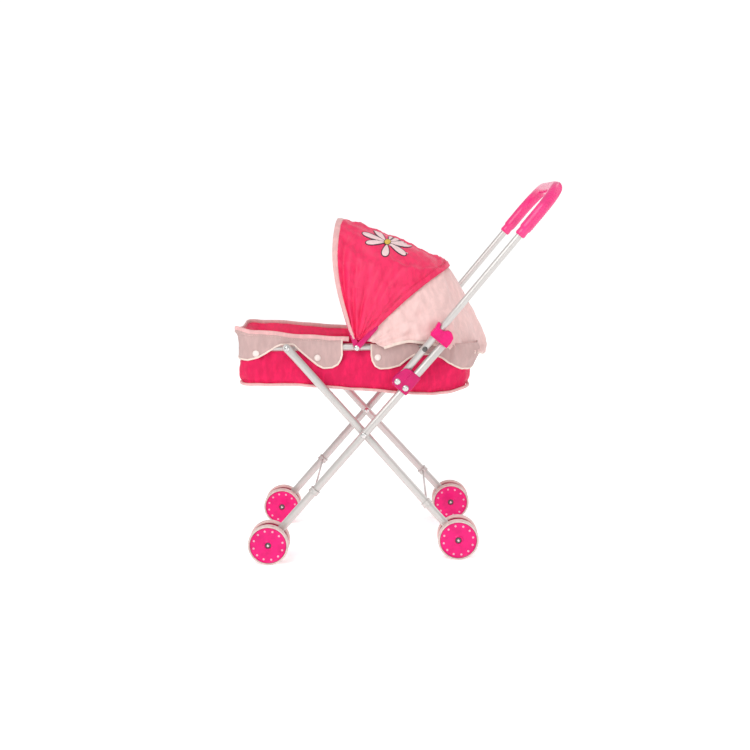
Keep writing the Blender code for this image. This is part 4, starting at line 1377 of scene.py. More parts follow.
class STROLLER_OT_grip(bpy.types.Operator):
    """Make the push handle's sleeve, smooth above and ribbed below"""

    bl_idname = "stroller.grip"
    bl_label = "Grip"

    def execute(self, context):
        sizes = frame_sizes()
        path = handle_path(HANDLE_LENGTH - sizes.grip_leg)
        leg = np.linspace(0.0, 1.0, 16)[:, None]
        start, bend = np.array(path[0]), np.array(path[2])
        left = start + (bend - start) * leg
        right = left * [1.0, -1.0, 1.0]
        arc = np.array([tuple(point) for point in path[3:17]])
        back = arc[::-1] * [1.0, -1.0, 1.0]
        line = np.vstack([left, arc, back, right[::-1]])
        run = np.concatenate([[0.0], np.cumsum(np.linalg.norm(np.diff(line, axis=0), axis=1))])
        edge = np.minimum(run, run[-1] - run)
        radius = sizes.grip_radius - 0.0013 * (1 - smooth_steps((edge - 0.0105) / 0.0025))
        radius -= 0.0006 * (1 - smooth_steps(edge / 0.0012))
        radius += 0.0006 * hump(edge, 0.0035, 0.0018)
        ways = tangents(line)
        outside = sweep("grip", line, ways, UNDER_HANDLE, radius, radius, 40)
        show("grip_sleeve", outside, "grip_vinyl", "handle", ("grip",))
        ribbed = [point for point, at in zip(line, edge) if 0.016 < at < 0.135]
        halves = (ribbed[: len(ribbed) // 2], ribbed[len(ribbed) // 2:])
        ribs = [grown("ribs", line_mesh("ribs", half), tree_of("ribs"), "grip_vinyl",
                      Pitch=sizes.rib_pitch, Facing=tuple(UNDER_HANDLE), Radius=sizes.grip_radius - 0.0005,
                      Rib=sizes.rib_size) for half in halves]
        show("grip_ribs", joined("grip_ribs", ribs), "grip_vinyl", "handle")
        return {"FINISHED"}

# ---- Cloth ----------------------------------------------------------------------------------

SIM_SCALE = 10.0


def buckled(mesh, pinned, slack, frames=24, cap=0.006, pressure=0.0, gravity=0.25, bending=0.35):
    """Let a sheet with spare cloth settle between its pinned points. The result is a list of places."""
    rest = np.array([vert.co for vert in mesh.vertices])
    made = temporary(mesh.name, mesh.copy())
    made.data.vertices.foreach_set("co", (rest * SIM_SCALE).reshape(-1))
    group = made.vertex_groups.new(name="pinned")
    group.add([int(k) for k in pinned], 1.0, "REPLACE")
    cloth = made.modifiers.new("cloth", "CLOTH")
    cloth.settings.quality = 6
    cloth.settings.mass = 0.2
    cloth.settings.vertex_group_mass = "pinned"
    cloth.settings.tension_stiffness = 25.0
    cloth.settings.compression_stiffness = 25.0
    cloth.settings.shear_stiffness = 12.0
    cloth.settings.bending_stiffness = bending
    cloth.settings.shrink_min = -slack
    cloth.settings.shrink_max = -slack
    cloth.settings.use_pressure = pressure > 0.0
    cloth.settings.uniform_pressure_force = pressure
    cloth.settings.effector_weights.gravity = gravity
    cloth.collision_settings.use_collision = False
    scene = bpy.context.scene
    cloth.point_cache.frame_start = 1
    cloth.point_cache.frame_end = frames
    for step in range(1, frames + 1):
        scene.frame_set(step)
    graph = bpy.context.evaluated_depsgraph_get()
    done = made.evaluated_get(graph).to_mesh()
    moved = np.array([vert.co for vert in done.vertices]) / SIM_SCALE - rest
    scene.frame_set(1)
    bpy.data.objects.remove(made)
    size = np.linalg.norm(moved, axis=1)
    factor = cap * np.tanh(size / cap) / np.maximum(size, 1e-9)
    return rest + moved * factor[:, None]


def grid_normals(places, centre):
    """Unit normals of a grid of places, facing away from a centre."""
    normal = np.cross(np.gradient(places, axis=0), np.gradient(places, axis=1))
    normal /= np.maximum(np.linalg.norm(normal, axis=-1), 1e-12)[..., None]
    turn = np.sign(np.sum(normal * (places - np.array(centre)), axis=-1))
    return normal * np.where(turn == 0.0, 1.0, turn)[..., None]


def oriented_grid(name, places, centre, wrap=(False, False)):
    """A grid mesh whose faces look away from a centre."""
    mesh = grid_mesh(name, places, wrap)
    middle_face = mesh.polygons[len(mesh.polygons) // 2]
    if middle_face.normal.dot(middle_face.center - Vector(centre)) < 0.0:
        mesh.flip_normals()
    return mesh


TUB_DEPTHS = ((-0.276, 0.0548), (-0.208, 0.0545), (-0.171, 0.0570), (-0.120, 0.0608), (-0.068, 0.0648),
              (-0.030, 0.0688), (0.007, 0.0706), (0.035, 0.0676), (0.065, 0.0604))
TUB_ROWS = 26
TUB_LIMIT = 0.0863
FLOOR_INSETS = (0.0015, 0.005, 0.012, 0.024, 0.042, 0.060, 0.074)


def tub_depth(x):
    """Depth of the tub's bottom seam under the rail."""
    return np.interp(x, [at for at, _ in TUB_DEPTHS], [depth for _, depth in TUB_DEPTHS])


def tub_places():
    """The tub's wall from the rail down, and its floor in towards the middle, in the rail's frame."""
    flat, way = rounded_loop(RAIL_FRONT - 0.002, RAIL_REAR + 0.002, TUB_Y, RAIL_CORNER, 0.0034)
    rows = []
    for share in np.linspace(0.0, 1.0, TUB_ROWS):
        top = -0.0045
        z = top + (-tub_depth(flat[:, 0]) - top) * share
        out = 0.0026 * math.sin(math.pi * share) - 0.0008
        rows.append(np.column_stack([flat + way * out, z]))
    centre = np.array([(RAIL_FRONT + RAIL_REAR) / 2, 0.0])
    half = np.array([(RAIL_REAR - RAIL_FRONT) / 2, TUB_Y])
    for inset in FLOOR_INSETS:
        inner = centre + (flat - centre) * (1.0 - inset / half)
        rows.append(np.column_stack([inner, -tub_depth(inner[:, 0]) + 0.0004]))
    return np.array(rows), flat, way


class STROLLER_OT_tub(bpy.types.Operator):
    """Make the cloth tub under the rail, with the piping round its bottom seam"""

    bl_idname = "stroller.tub"
    bl_label = "Cloth tub"

    def execute(self, context):
        sizes = cloth_sizes()
        rows, flat, way = tub_places()
        count = rows.shape[1]
        mesh = grid_mesh("tub", transformed(rows, RAIL_FRAME), (False, True))
        cap_rings(mesh, (len(rows) - 1,), count)
        pinned = list(range(2 * count)) + list(range((TUB_ROWS - 1) * count, len(rows) * count))
        settled = buckled(mesh, pinned, sizes.slack_tub, cap=0.0042, pressure=0.6)
        local = (settled - np.array(RAIL_FRAME.translation)) @ np.array(RAIL_FRAME.to_3x3())
        local = local.reshape(rows.shape)
        share = np.linspace(0.0, 1.0, TUB_ROWS)[:, None]
        wall = local[:TUB_ROWS]
        slanted = wall @ np.array([[1.0, 0.0], [0.0, 1.0], [-1.35, 0.9]])
        folds = ripple(slanted, 0.060, 7) * 0.0021 + ripple(slanted, 0.024, 8) * 0.0011
        folds += ripple(wall * [1.0, 1.0, 0.35], 0.010, 9) * 0.00022
        near_corner = np.exp(-((wall[..., 0] - RAIL_FRONT - 0.026) / 0.022) ** 2)
        folds += near_corner * np.cos(wall[..., 0] * 2 * math.pi / 0.0125) * 0.0019
        folds *= np.sin(np.pi * np.clip(share * 0.97 + 0.015, 0, 1)) ** 0.45
        wall[..., :2] += (way[None] * folds[..., None])
        wall[..., 1] = np.clip(wall[..., 1], -TUB_LIMIT, TUB_LIMIT)
        local[:TUB_ROWS] = wall
        places = transformed(local.reshape(-1, 3), RAIL_FRAME)
        mesh.vertices.foreach_set("co", places.reshape(-1))
        # Painted shade: the tub wall takes the darkened copy of the nylon.
        tub = show("tub_cloth", thickened(mesh, sizes.thickness), "tub_cloth", "bassinet",
                   ("tub",))
        piping = self.piping(flat, way)
        seam = np.column_stack([flat + way * 0.0012, -tub_depth(flat[:, 0]) + 0.0042])
        row = stitches("tub_stitches", transformed(seam, RAIL_FRAME), UP, "magenta_thread", closed=True)
        thread = show("tub_stitches", row, "magenta_thread", "bassinet")
        return {"FINISHED"}

    def piping(self, flat, way):
        """Flattened piping that sticks out a little at the ends."""
        out = 0.0008 + 0.0010 * np.abs(way[:, 0]) ** 2
        drop = -tub_depth(flat[:, 0]) - 0.0008
        points = np.column_stack([flat + way * out[:, None], drop])
        points[:, 2] += ripple(points, 0.030, 11) * 0.0005
        points = transformed(points, RAIL_FRAME)
        mesh = sweep("piping", points, tangents(points, True), RAIL_FRAME.to_3x3() @ UP, 0.0024, 0.0022, 12,
                     closed=True)
        return show("tub_piping", mesh, "binding_tape", "bassinet")


def swollen(mesh, voxel, cap, frames=20):
    """Swell a closed form like a stuffed pad, by no more than cap."""
    made = temporary(mesh.name, mesh)
    melt = made.modifiers.new("melt", "REMESH")
    melt.mode = "VOXEL"
    melt.voxel_size = voxel
    mesh = settle(made)
    rest = np.array([vert.co for vert in mesh.vertices])
    made = temporary(mesh.name, mesh)
    cloth = made.modifiers.new("cloth", "CLOTH")
    cloth.settings.use_pressure = True
    cloth.settings.uniform_pressure_force = 4.0
    cloth.settings.effector_weights.gravity = 0.0
    cloth.collision_settings.use_collision = False
    for step in range(1, frames + 1):
        bpy.context.scene.frame_set(step)
    graph = bpy.context.evaluated_depsgraph_get()
    done = made.evaluated_get(graph).to_mesh()
    moved = np.array([vert.co for vert in done.vertices]) - rest
    bpy.context.scene.frame_set(1)
    size = np.linalg.norm(moved, axis=1)
    moved *= (cap * np.tanh(size / cap) / np.maximum(size, 1e-9))[:, None]
    result = mesh.copy()
    bpy.data.objects.remove(made)
    result.vertices.foreach_set("co", (rest + moved).reshape(-1))
    return result


class STROLLER_OT_mattress(bpy.types.Operator):
    """Make the thin padded insert that lies on the floor of the tub"""

    bl_idname = "stroller.mattress"
    bl_label = "Padded insert"

    def execute(self, context):
        flat, _ = rounded_loop(RAIL_FRONT + 0.007, RAIL_REAR - 0.007, TUB_Y - 0.007, 0.022, 0.004)
        centre = np.array([(RAIL_FRONT + RAIL_REAR) / 2, 0.0])
        rings = []
        for scale, lift in ((0.05, 0.0010), (0.5, 0.0010), (0.90, 0.0010), (0.97, 0.0016), (1.0, 0.0036),
                            (0.99, 0.0058), (0.96, 0.0074), (0.88, 0.0084), (0.5, 0.0088), (0.05, 0.0088)):
            inner = centre + (flat - centre) * scale
            rings.append(np.column_stack([inner, -tub_depth(inner[:, 0]) + 0.0022 + lift]))
        mesh = grid_mesh("insert", transformed(np.array(rings), RAIL_FRAME), (False, True))
        cap_rings(mesh, (0, len(rings) - 1), len(flat))
        mesh = swollen(mesh, 0.0032, 0.0022)
        finer = temporary("insert", mesh)
        step = finer.modifiers.new("finer", "SUBSURF")
        step.levels = 1
        step.render_levels = 1
        mesh = settle(finer)
        places = np.array([vert.co for vert in mesh.vertices])
        local = (places - np.array(RAIL_FRAME.translation)) @ np.array(RAIL_FRAME.to_3x3())
        height = local[:, 2] + tub_depth(local[:, 0]) - 0.0022
        upper = smooth_steps((height - 0.003) / 0.004)
        pitch = 0.042
        seam = np.abs((local[:, 0] - RAIL_FRONT) / pitch % 1.0 - 0.5) * pitch
        channel = np.exp(-(seam / 0.0035) ** 2) * 0.0030 + np.exp(-(seam / 0.0009) ** 2) * 0.0007
        wrinkle = ripple(local, 0.018, 21) * 0.00035
        local[:, 2] += upper * (wrinkle - channel)
        places = transformed(local, RAIL_FRAME)
        mesh.vertices.foreach_set("co", places.reshape(-1))
        mesh.shade_smooth()
        pad = show("padded_insert", mesh, "quilt_cloth", "bassinet", ("base_board",))
        return {"FINISHED"}


# ---- Rim and valances -----------------------------------------------------------------------

RIM_FRONT = 0.028
RIM_REAR = 0.014
RIM_END = -0.112
VALANCE_END = -0.1225
FRONT_SCALLOP = ((-0.277, -0.0150), (-0.272, -0.0175), (-0.260, -0.0180), (-0.248, -0.0140), (-0.236, -0.0075),
                 (-0.222, 0.0015), (-0.213, 0.0055), (-0.194, 0.0055), (-0.186, -0.0030), (-0.171, -0.0160),
                 (-0.159, -0.0260), (-0.150, -0.0305), (-0.137, -0.0295), (-0.129, -0.0250),
                 (-0.1245, -0.0180), (-0.1225, -0.0110))
REAR_SCALLOP = ((-0.0785, -0.0120), (-0.077, -0.0200), (-0.073, -0.0275), (-0.066, -0.0318), (-0.052, -0.0310),
                (-0.037, -0.0270), (-0.025, -0.0175), (-0.014, -0.0105), (0.014, -0.0105), (0.027, -0.0165),
                (0.040, -0.0260), (0.050, -0.0310), (0.066, -0.0318))
REAR_START = -0.0785


def half_loop(limit, foot, spacing=0.002):
    """The part of the rail's loop towards the foot end, or towards the head end, from side to side."""
    flat, way = rounded_loop(RAIL_FRONT, RAIL_REAR, RAIL_Y, RAIL_CORNER, spacing)
    inside = flat[:, 0] < limit - 0.0004 if foot else flat[:, 0] > limit + 0.0004
    start = int(np.flatnonzero(inside & ~np.roll(inside, 1))[0])
    flat, way, inside = (np.roll(array, -start, axis=0) for array in (flat, way, inside))
    flat, way = flat[inside], way[inside]
    first = 1.0 if flat[0, 1] > 0 else -1.0
    flat = np.vstack([[limit, first * RAIL_Y], flat, [limit, -first * RAIL_Y]])
    way = np.vstack([[0.0, first], way, [0.0, -first]])
    return flat, way


def rim_height(x):
    """Height of the rim over the rail's axis, which grows towards the foot end."""
    return RIM_REAR + (x - RIM_END) / (RAIL_FRONT - RIM_END) * (RIM_FRONT - RIM_REAR)


def corner_flare(flat):
    """1 at the two corners of the foot end, and 0 away from them."""
    return np.exp(-((flat[:, 0] - RAIL_FRONT - 0.004) / 0.011) ** 2) * np.exp(
        -((np.abs(flat[:, 1]) - RAIL_Y + 0.012) / 0.016) ** 2)


def rim_top(flat, way):
    """Where the rim's top edge runs: how far out of the rail's axis, and how high."""
    foot = np.abs(way[:, 0])
    near = np.where(flat[:, 1] < 0.0, 1.0, 0.25)
    out = 0.0022 + 0.0052 * foot + 0.0050 * corner_flare(flat) * near
    high = rim_height(flat[:, 0]) + 0.0055 * corner_flare(flat) * near - 0.0030 * foot
    wave = ripple(np.column_stack([flat, high]), 0.07, 31) * 0.0008
    return out, high + wave


def draped_rows(flat, way, steps):
    """Rows of a cloth band, each row a distance out of the rail's axis and a height."""
    return np.array([np.column_stack([flat + way * np.asarray(out)[:, None], np.asarray(high)])
                     for out, high in steps])


def eased(controls, count):
    """Rows between control rows, on a smooth curve."""
    outs = np.array([np.broadcast_to(out, controls[-1][1].shape) for out, _ in controls])
    highs = np.array([np.broadcast_to(high, controls[-1][1].shape) for _, high in controls])
    at = np.linspace(0, len(controls) - 1, count)
    low = np.clip(at.astype(int), 0, len(controls) - 2)
    share = (at - low)[:, None]

    def curve(values):
        before = values[np.maximum(low - 1, 0)]
        first, second = values[low], values[low + 1]
        after = values[np.minimum(low + 2, len(controls) - 1)]
        return 0.5 * (2 * first + (second - before) * share
                      + (2 * before - 5 * first + 4 * second - after) * share ** 2
                      + (3 * first - before - 3 * second + after) * share ** 3)

    return list(zip(curve(outs), curve(highs)))


def band(name, path, reference, wide, high, finish, body, closed=False, sides=12):
    """A flattened tape along a path."""
    ways = tangents(path, closed)
    mesh = sweep(name, path, ways, reference, wide, high, sides, closed)
    return show(name, mesh, finish, body)


def outline_of(rows):
    """The free edge of a hanging band: down one end, along the bottom and up the other end."""
    return np.vstack([rows[:, 0], rows[-1, 1:-1], rows[::-1, -1]])


class STROLLER_OT_rim(bpy.types.Operator):
    """Make the cloth rim that stands on the rail, lined on the inside"""

    bl_idname = "stroller.rim"
    bl_label = "Rim lining"

    def execute(self, context):
        flat, way = half_loop(RIM_END, True)
        out, high = rim_top(flat, way)
        controls = [(-0.0005, np.full(len(flat), -0.0075)), (-0.0056, np.full(len(flat), -0.0045)),
                    (-0.0066, np.full(len(flat), 0.0015)), (-0.0040, high * 0.38),
                    (out - 0.0014, high - 0.0065), (out - 0.0004, high - 0.0008)]
        rows = draped_rows(flat, way, eased(controls, 22))
        share = np.linspace(0, 1, 22)[:, None] * np.ones(len(flat))
        wave = ripple(rows, 0.035, 33) * 0.0009 + ripple(rows * [1, 1, 0.3], 0.012, 34) * 0.0003
        rows[..., :2] += way[None] * (wave * np.sin(np.pi * share) ** 1.5)[..., None]
        centre = RAIL_FRAME @ Vector((-0.19, 0.0, 0.0))
        top = np.column_stack([flat + way * (out - 0.0002)[:, None], high - 0.0030])
        lid = band("rim_binding", transformed(top, RAIL_FRAME), np.column_stack([way, np.zeros(len(way))]),
                   0.0037, 0.0017, "binding_tape", "bassinet")
        mesh = oriented_grid("rim", transformed(rows, RAIL_FRAME), centre)
        rim = show("rim_lining", thickened(mesh, cloth_sizes().thickness), "lining_cloth", "bassinet",
                   ("rim_band",))
        return {"FINISHED"}


def snap_spots(places):
    """Snap buttons at places along the rail, on both sides."""
    spots = []
    for x, z in places:
        for _, sign in SIDES:
            centre = RAIL_FRAME @ Vector((x, sign * (FLAP_Y + 0.0007), z))
            spots.append((centre, (0.0, sign, 0.0), 1.0))
    return spots


def snaps(name, places):
    """Milky snap buttons."""
    mesh = grown(name, points_mesh(name, snap_spots(places)), tree_of("domes"), "snap_plastic",
                 Radius=cloth_sizes().snap_radius, Height=0.0011, Skirt=0.0006, Crown=0.55)
    return show(name, mesh, "snap_plastic", "bassinet")


class STROLLER_OT_front_valance(bpy.types.Operator):
    """Make the scalloped front valance, its bindings and its snap buttons"""

    bl_idname = "stroller.front_valance"
    bl_label = "Front valance"

    def execute(self, context):
        flat, way = half_loop(VALANCE_END, True)
        out, high = rim_top(flat, way)
        side = np.interp(flat[:, 0], [x for x, _ in FRONT_SCALLOP], [z for _, z in FRONT_SCALLOP])
        foot = -0.0155 + 0.0035 * (1 - np.clip(np.abs(flat[:, 1]) / 0.052, 0, 1) ** 2)
        low = np.where(np.abs(flat[:, 1]) < 0.052, foot, side)
        hang = FLAP_Y - RAIL_Y
        controls = [(out + 0.0006, high - 0.0040), (out + 0.0016, high - 0.0075),
                    (hang * 0.55 + out * 0.4, high * 0.55),
                    (np.full(len(flat), hang - 0.0002), high * 0.15),
                    (np.full(len(flat), hang), low * 0.45), (np.full(len(flat), hang + 0.0003), low)]
        rows = draped_rows(flat, way, eased(controls, 26))
        share = np.linspace(0, 1, 26)[:, None] * np.ones(len(flat))
        wave = ripple(rows * [1, 1, 0.4], 0.022, 41) * 0.0006 + ripple(rows, 0.009, 42) * 0.00018
        wave *= np.sin(np.pi * np.clip(share, 0.02, 0.98)) ** 0.5
        slanting = np.abs(flat[:, 1]) > 0.078
        wave = np.where(slanting & (share > 0.5), np.clip(wave, -0.0004, 0.0006), wave)
        rows[..., :2] += way[None] * wave[..., None]
        centre = RAIL_FRAME @ Vector((-0.19, 0.0, 0.0))
        places = transformed(rows, RAIL_FRAME)
        cloth = show("front_valance", thickened(oriented_grid("valance", places, centre),
                                                cloth_sizes().thickness), "sheer_cloth", "bassinet",
                     ("front_flap_left", "front_flap_right"))
        normals = grid_normals(places, centre)
        edge = outline_of(places + normals * 0.0001)
        facing = outline_of(normals)
        tape = band("front_valance_tape", edge, facing, 0.0014, 0.0007, "cream_tape", "bassinet")
        row = stitches("front_valance_stitches", (places + normals * 0.0004)[5], UP)
        thread = show("front_valance_stitches", row, "pale_thread", "bassinet")
        buttons = snaps("front_snaps", ((-0.2505, -0.0080), (-0.1590, -0.0150)))
        return {"FINISHED"}


class STROLLER_OT_rear_valance(bpy.types.Operator):
    """Make the gathered rear valance under the hood"""

    bl_idname = "stroller.rear_valance"
    bl_label = "Rear valance"

    def execute(self, context):
        flat, way = half_loop(REAR_START, False)
        side = np.interp(flat[:, 0], [x for x, _ in REAR_SCALLOP], [z for _, z in REAR_SCALLOP])
        head = np.abs(way[:, 0])
        low = side + 0.0030 * head * np.cos(flat[:, 1] * 2 * math.pi / 0.05)
        bush = np.exp(-(flat[:, 0] / 0.0085) ** 4)
        high = 0.0050 - 0.0100 * bush
        hang = FLAP_Y - RAIL_Y
        back = smooth_steps((flat[:, 0] - 0.022) / 0.030)
        spread = hang + 0.0035 * head
        puff = 0.0085 * head
        controls = [(spread - 0.0004 + puff, high), (spread + puff * 1.1, high * 0.5 + low * 0.12),
                    (spread + 0.0004 + puff, high * 0.1 + low * 0.5), (spread + 0.0006 + 0.0010 * back, low)]
        rows = draped_rows(flat, way, eased(controls, 22))
        run = np.concatenate([[0.0], np.cumsum(np.linalg.norm(np.diff(flat, axis=0), axis=1))])
        share = np.linspace(0, 1, 22)[:, None] * np.ones(len(flat))
        gather = np.sin(run * 2 * math.pi / 0.0085 + 0.8 * np.sin(run * 60.0))
        pucker = np.exp(-((share - 0.45) / 0.30) ** 2) * back * 0.0020
        wave = pucker * gather + ripple(rows, 0.016, 51) * (0.0002 + 0.0007 * back)
        rows[..., :2] += way[None] * np.maximum(wave, -0.0006)[..., None]
        rows[..., 2] += ripple(rows, 0.012, 52) * 0.0006 * back * share
        centre = RAIL_FRAME @ Vector((0.0, 0.0, 0.0))
        places = transformed(rows, RAIL_FRAME)
        cloth = show("rear_valance", thickened(oriented_grid("valance", places, centre),
                                               cloth_sizes().thickness), "sheer_cloth", "bassinet",
                     ("rear_flap_left", "rear_flap_right"))
        normals = grid_normals(places, centre)
        edge = outline_of(places + normals * 0.0001)
        tape = band("rear_valance_tape", edge, outline_of(normals), 0.0014, 0.0007, "cream_tape",
                    "bassinet")
        buttons = snaps("rear_snaps", ((-0.0690, -0.0150),))
        return {"FINISHED"}


# ---- Hood -----------------------------------------------------------------------------------


def arch(shape, t, grow=0.0, wide=0.0):
    """Points of an arch over the bassinet; t runs from 0 at the left pivot to 1 at the right."""
    turn = np.pi * np.asarray(t, float)
    across = -np.sign(np.cos(turn)) * np.abs(np.cos(turn)) ** shape["round"]
    share = np.clip(np.sin(turn), 0.0, 1.0) ** shape["round"]
    radius = share * (shape["radius"] + grow)
    angle = np.radians(shape["crest"] + shape["lean"] * (1 - share * share))
    half = max(shape["half_width"], wide) + grow
    return np.stack([radius * np.cos(angle), across * half, radius * np.sin(angle)], -1)


def folded(shape, degrees):
    """The same arch, turned forward by an angle."""
    return {**shape, "crest": shape["crest"] + degrees}


def even_stations(shapes, start, count):
    """Values of t that are evenly spaced along the arches."""
    fine = np.linspace(start, 1.0 - start, 3000)
    run = np.zeros(len(fine))
    for shape in shapes:
        steps = np.linalg.norm(np.diff(arch(shape, fine), axis=0), axis=1)
        run[1:] += np.cumsum(steps)
    return np.interp(np.linspace(0.0, run[-1], count), run, fine)


def bow_path(shape, count=96):
    """Middle line of a bow with its two ears, and the direction of its width."""
    stations = even_stations([shape], 0.0, count)
    path = arch(shape, stations)
    ears = math.radians(shape["crest"] + shape["lean"])
    ear = np.array([math.cos(ears), 0.0, math.sin(ears)]) * 0.0045
    path = np.vstack([path[:1] - ear, path, path[-1:] - ear])
    share = np.minimum(np.hypot(path[:, 0], path[:, 2]) / shape["radius"], 1.0)
    angle = np.radians(shape["crest"] + shape["lean"] * (1 - share * share))
    width_way = np.stack([-np.sin(angle), np.zeros(len(angle)), np.cos(angle)], -1)
    return path, width_way, share


class STROLLER_OT_bows(bpy.types.Operator):
    """Make the two bows of the hood and the arms at their pivots"""

    bl_idname = "stroller.bows"
    bl_label = "Hood bows"

    def execute(self, context):
        for node, shape, body in (("canopy_front_bow", FRONT_BOW, "canopy_front"),
                                  ("canopy_mid_bow", MID_BOW, "canopy_mid")):
            path, width_way, share = bow_path(shape)
            turn = np.array(HOOD_FRAME.to_3x3())
            path = transformed(path, HOOD_FRAME)
            half = 0.0035 * (1 - 0.45 * share * share)
            mesh = sweep(node, path, tangents(path), width_way @ turn.T, 0.0008, half, 16)
            show(node + "_strip", mesh, "magenta_plastic", body, (node,))
        mid = math.radians(MID_BOW["crest"] + MID_BOW["lean"])
        front = math.radians(FRONT_BOW["crest"] + FRONT_BOW["lean"])
        arms = [self.arm(sign * 0.0935, mid, 0.045, 0.0043, 0.0034) for _, sign in SIDES]
        # Painted shade: both pairs of arms take the darkened copy of the magenta plastic.
        show("hood_arms", joined("hood_arms", arms), "deep_plastic", "canopy_mid")
        arms = [self.arm(sign * 0.0912, front, 0.026, 0.0042, 0.0036) for _, sign in SIDES]
        show("hood_front_arms", joined("arms", arms), "deep_plastic", "canopy_front")
        return {"FINISHED"}

    def arm(self, y, angle, reach, start_half, end_half):
        """Flat arm with round ends, from its pivot out along an angle."""
        way = Vector((math.cos(angle), 0.0, math.sin(angle)))
        rings = []
        for step in range(7):
            rings.append((-start_half * math.cos(math.pi / 2 * step / 6), math.sin(math.pi / 2 * step / 6)))
        rings += [(reach * share, 1.0) for share in (0.2, 0.4, 0.6, 0.8)]
        for step in range(6, -1, -1):
            rings.append((reach - end_half + end_half * math.cos(math.pi / 2 * step / 6),
                          math.sin(math.pi / 2 * step / 6)))
        path, wide, thick = [], [], []
        for distance, size in rings:
            share = min(max(distance / reach, 0.0), 1.0)
            path.append(HOOD_FRAME @ (way * distance + ACROSS * y))
            wide.append((start_half + (end_half - start_half) * share) * max(size, 0.08))
            thick.append(0.00095 * (0.55 + 0.45 * size))
        ways = np.repeat([tuple(HOOD_FRAME.to_3x3() @ way)], len(path), 0)
        return sweep("arm", path, ways, ACROSS, wide, thick, 20)


CLOTH_GROW = 0.0026
HOOD_START = 0.010
HOOD_LIMIT = 0.0965
HOOD_ROWS = 60
HOOD_COLUMNS = 121


def ruled(low, high, rows):
    """Straight lines between two arches."""
    share = np.linspace(0.0, 1.0, rows)[:, None, None]
    return low[None] * (1 - share) + high[None] * share


def hood_grid():
    """The front panel's cut between its two arches, in the hood's frame."""
    stations = even_stations([FRONT_BOW, MID_BOW], HOOD_START, HOOD_COLUMNS)
    low = arch(folded(MID_BOW, -1.6), stations, CLOTH_GROW + 0.0010, FRONT_BOW["half_width"])
    high = arch(folded(FRONT_BOW, 0.4), stations, CLOTH_GROW, FRONT_BOW["half_width"])
    places = ruled(low, high, HOOD_ROWS)
    share = np.linspace(0.0, 1.0, HOOD_ROWS)[:, None]
    normals = grid_normals(places, (0.0, 0.0, 0.0))
    crown = np.sin(np.pi * stations)[None] ** 0.6
    puff = 0.0034 * crown + 0.0072 * crown ** 4
    return places + normals * (np.sin(np.pi * share) ** 0.8 * puff)[..., None], share, stations


def fold_band(piece):
    """Bake a hood panel's placement into its mesh."""
    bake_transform(piece)


def edge_cap(places, limit):
    """Keep cloth between the two sides of the frame."""
    places[..., 1] = np.clip(places[..., 1], -limit, limit)
    return places


HOOD_SURFACE = {}


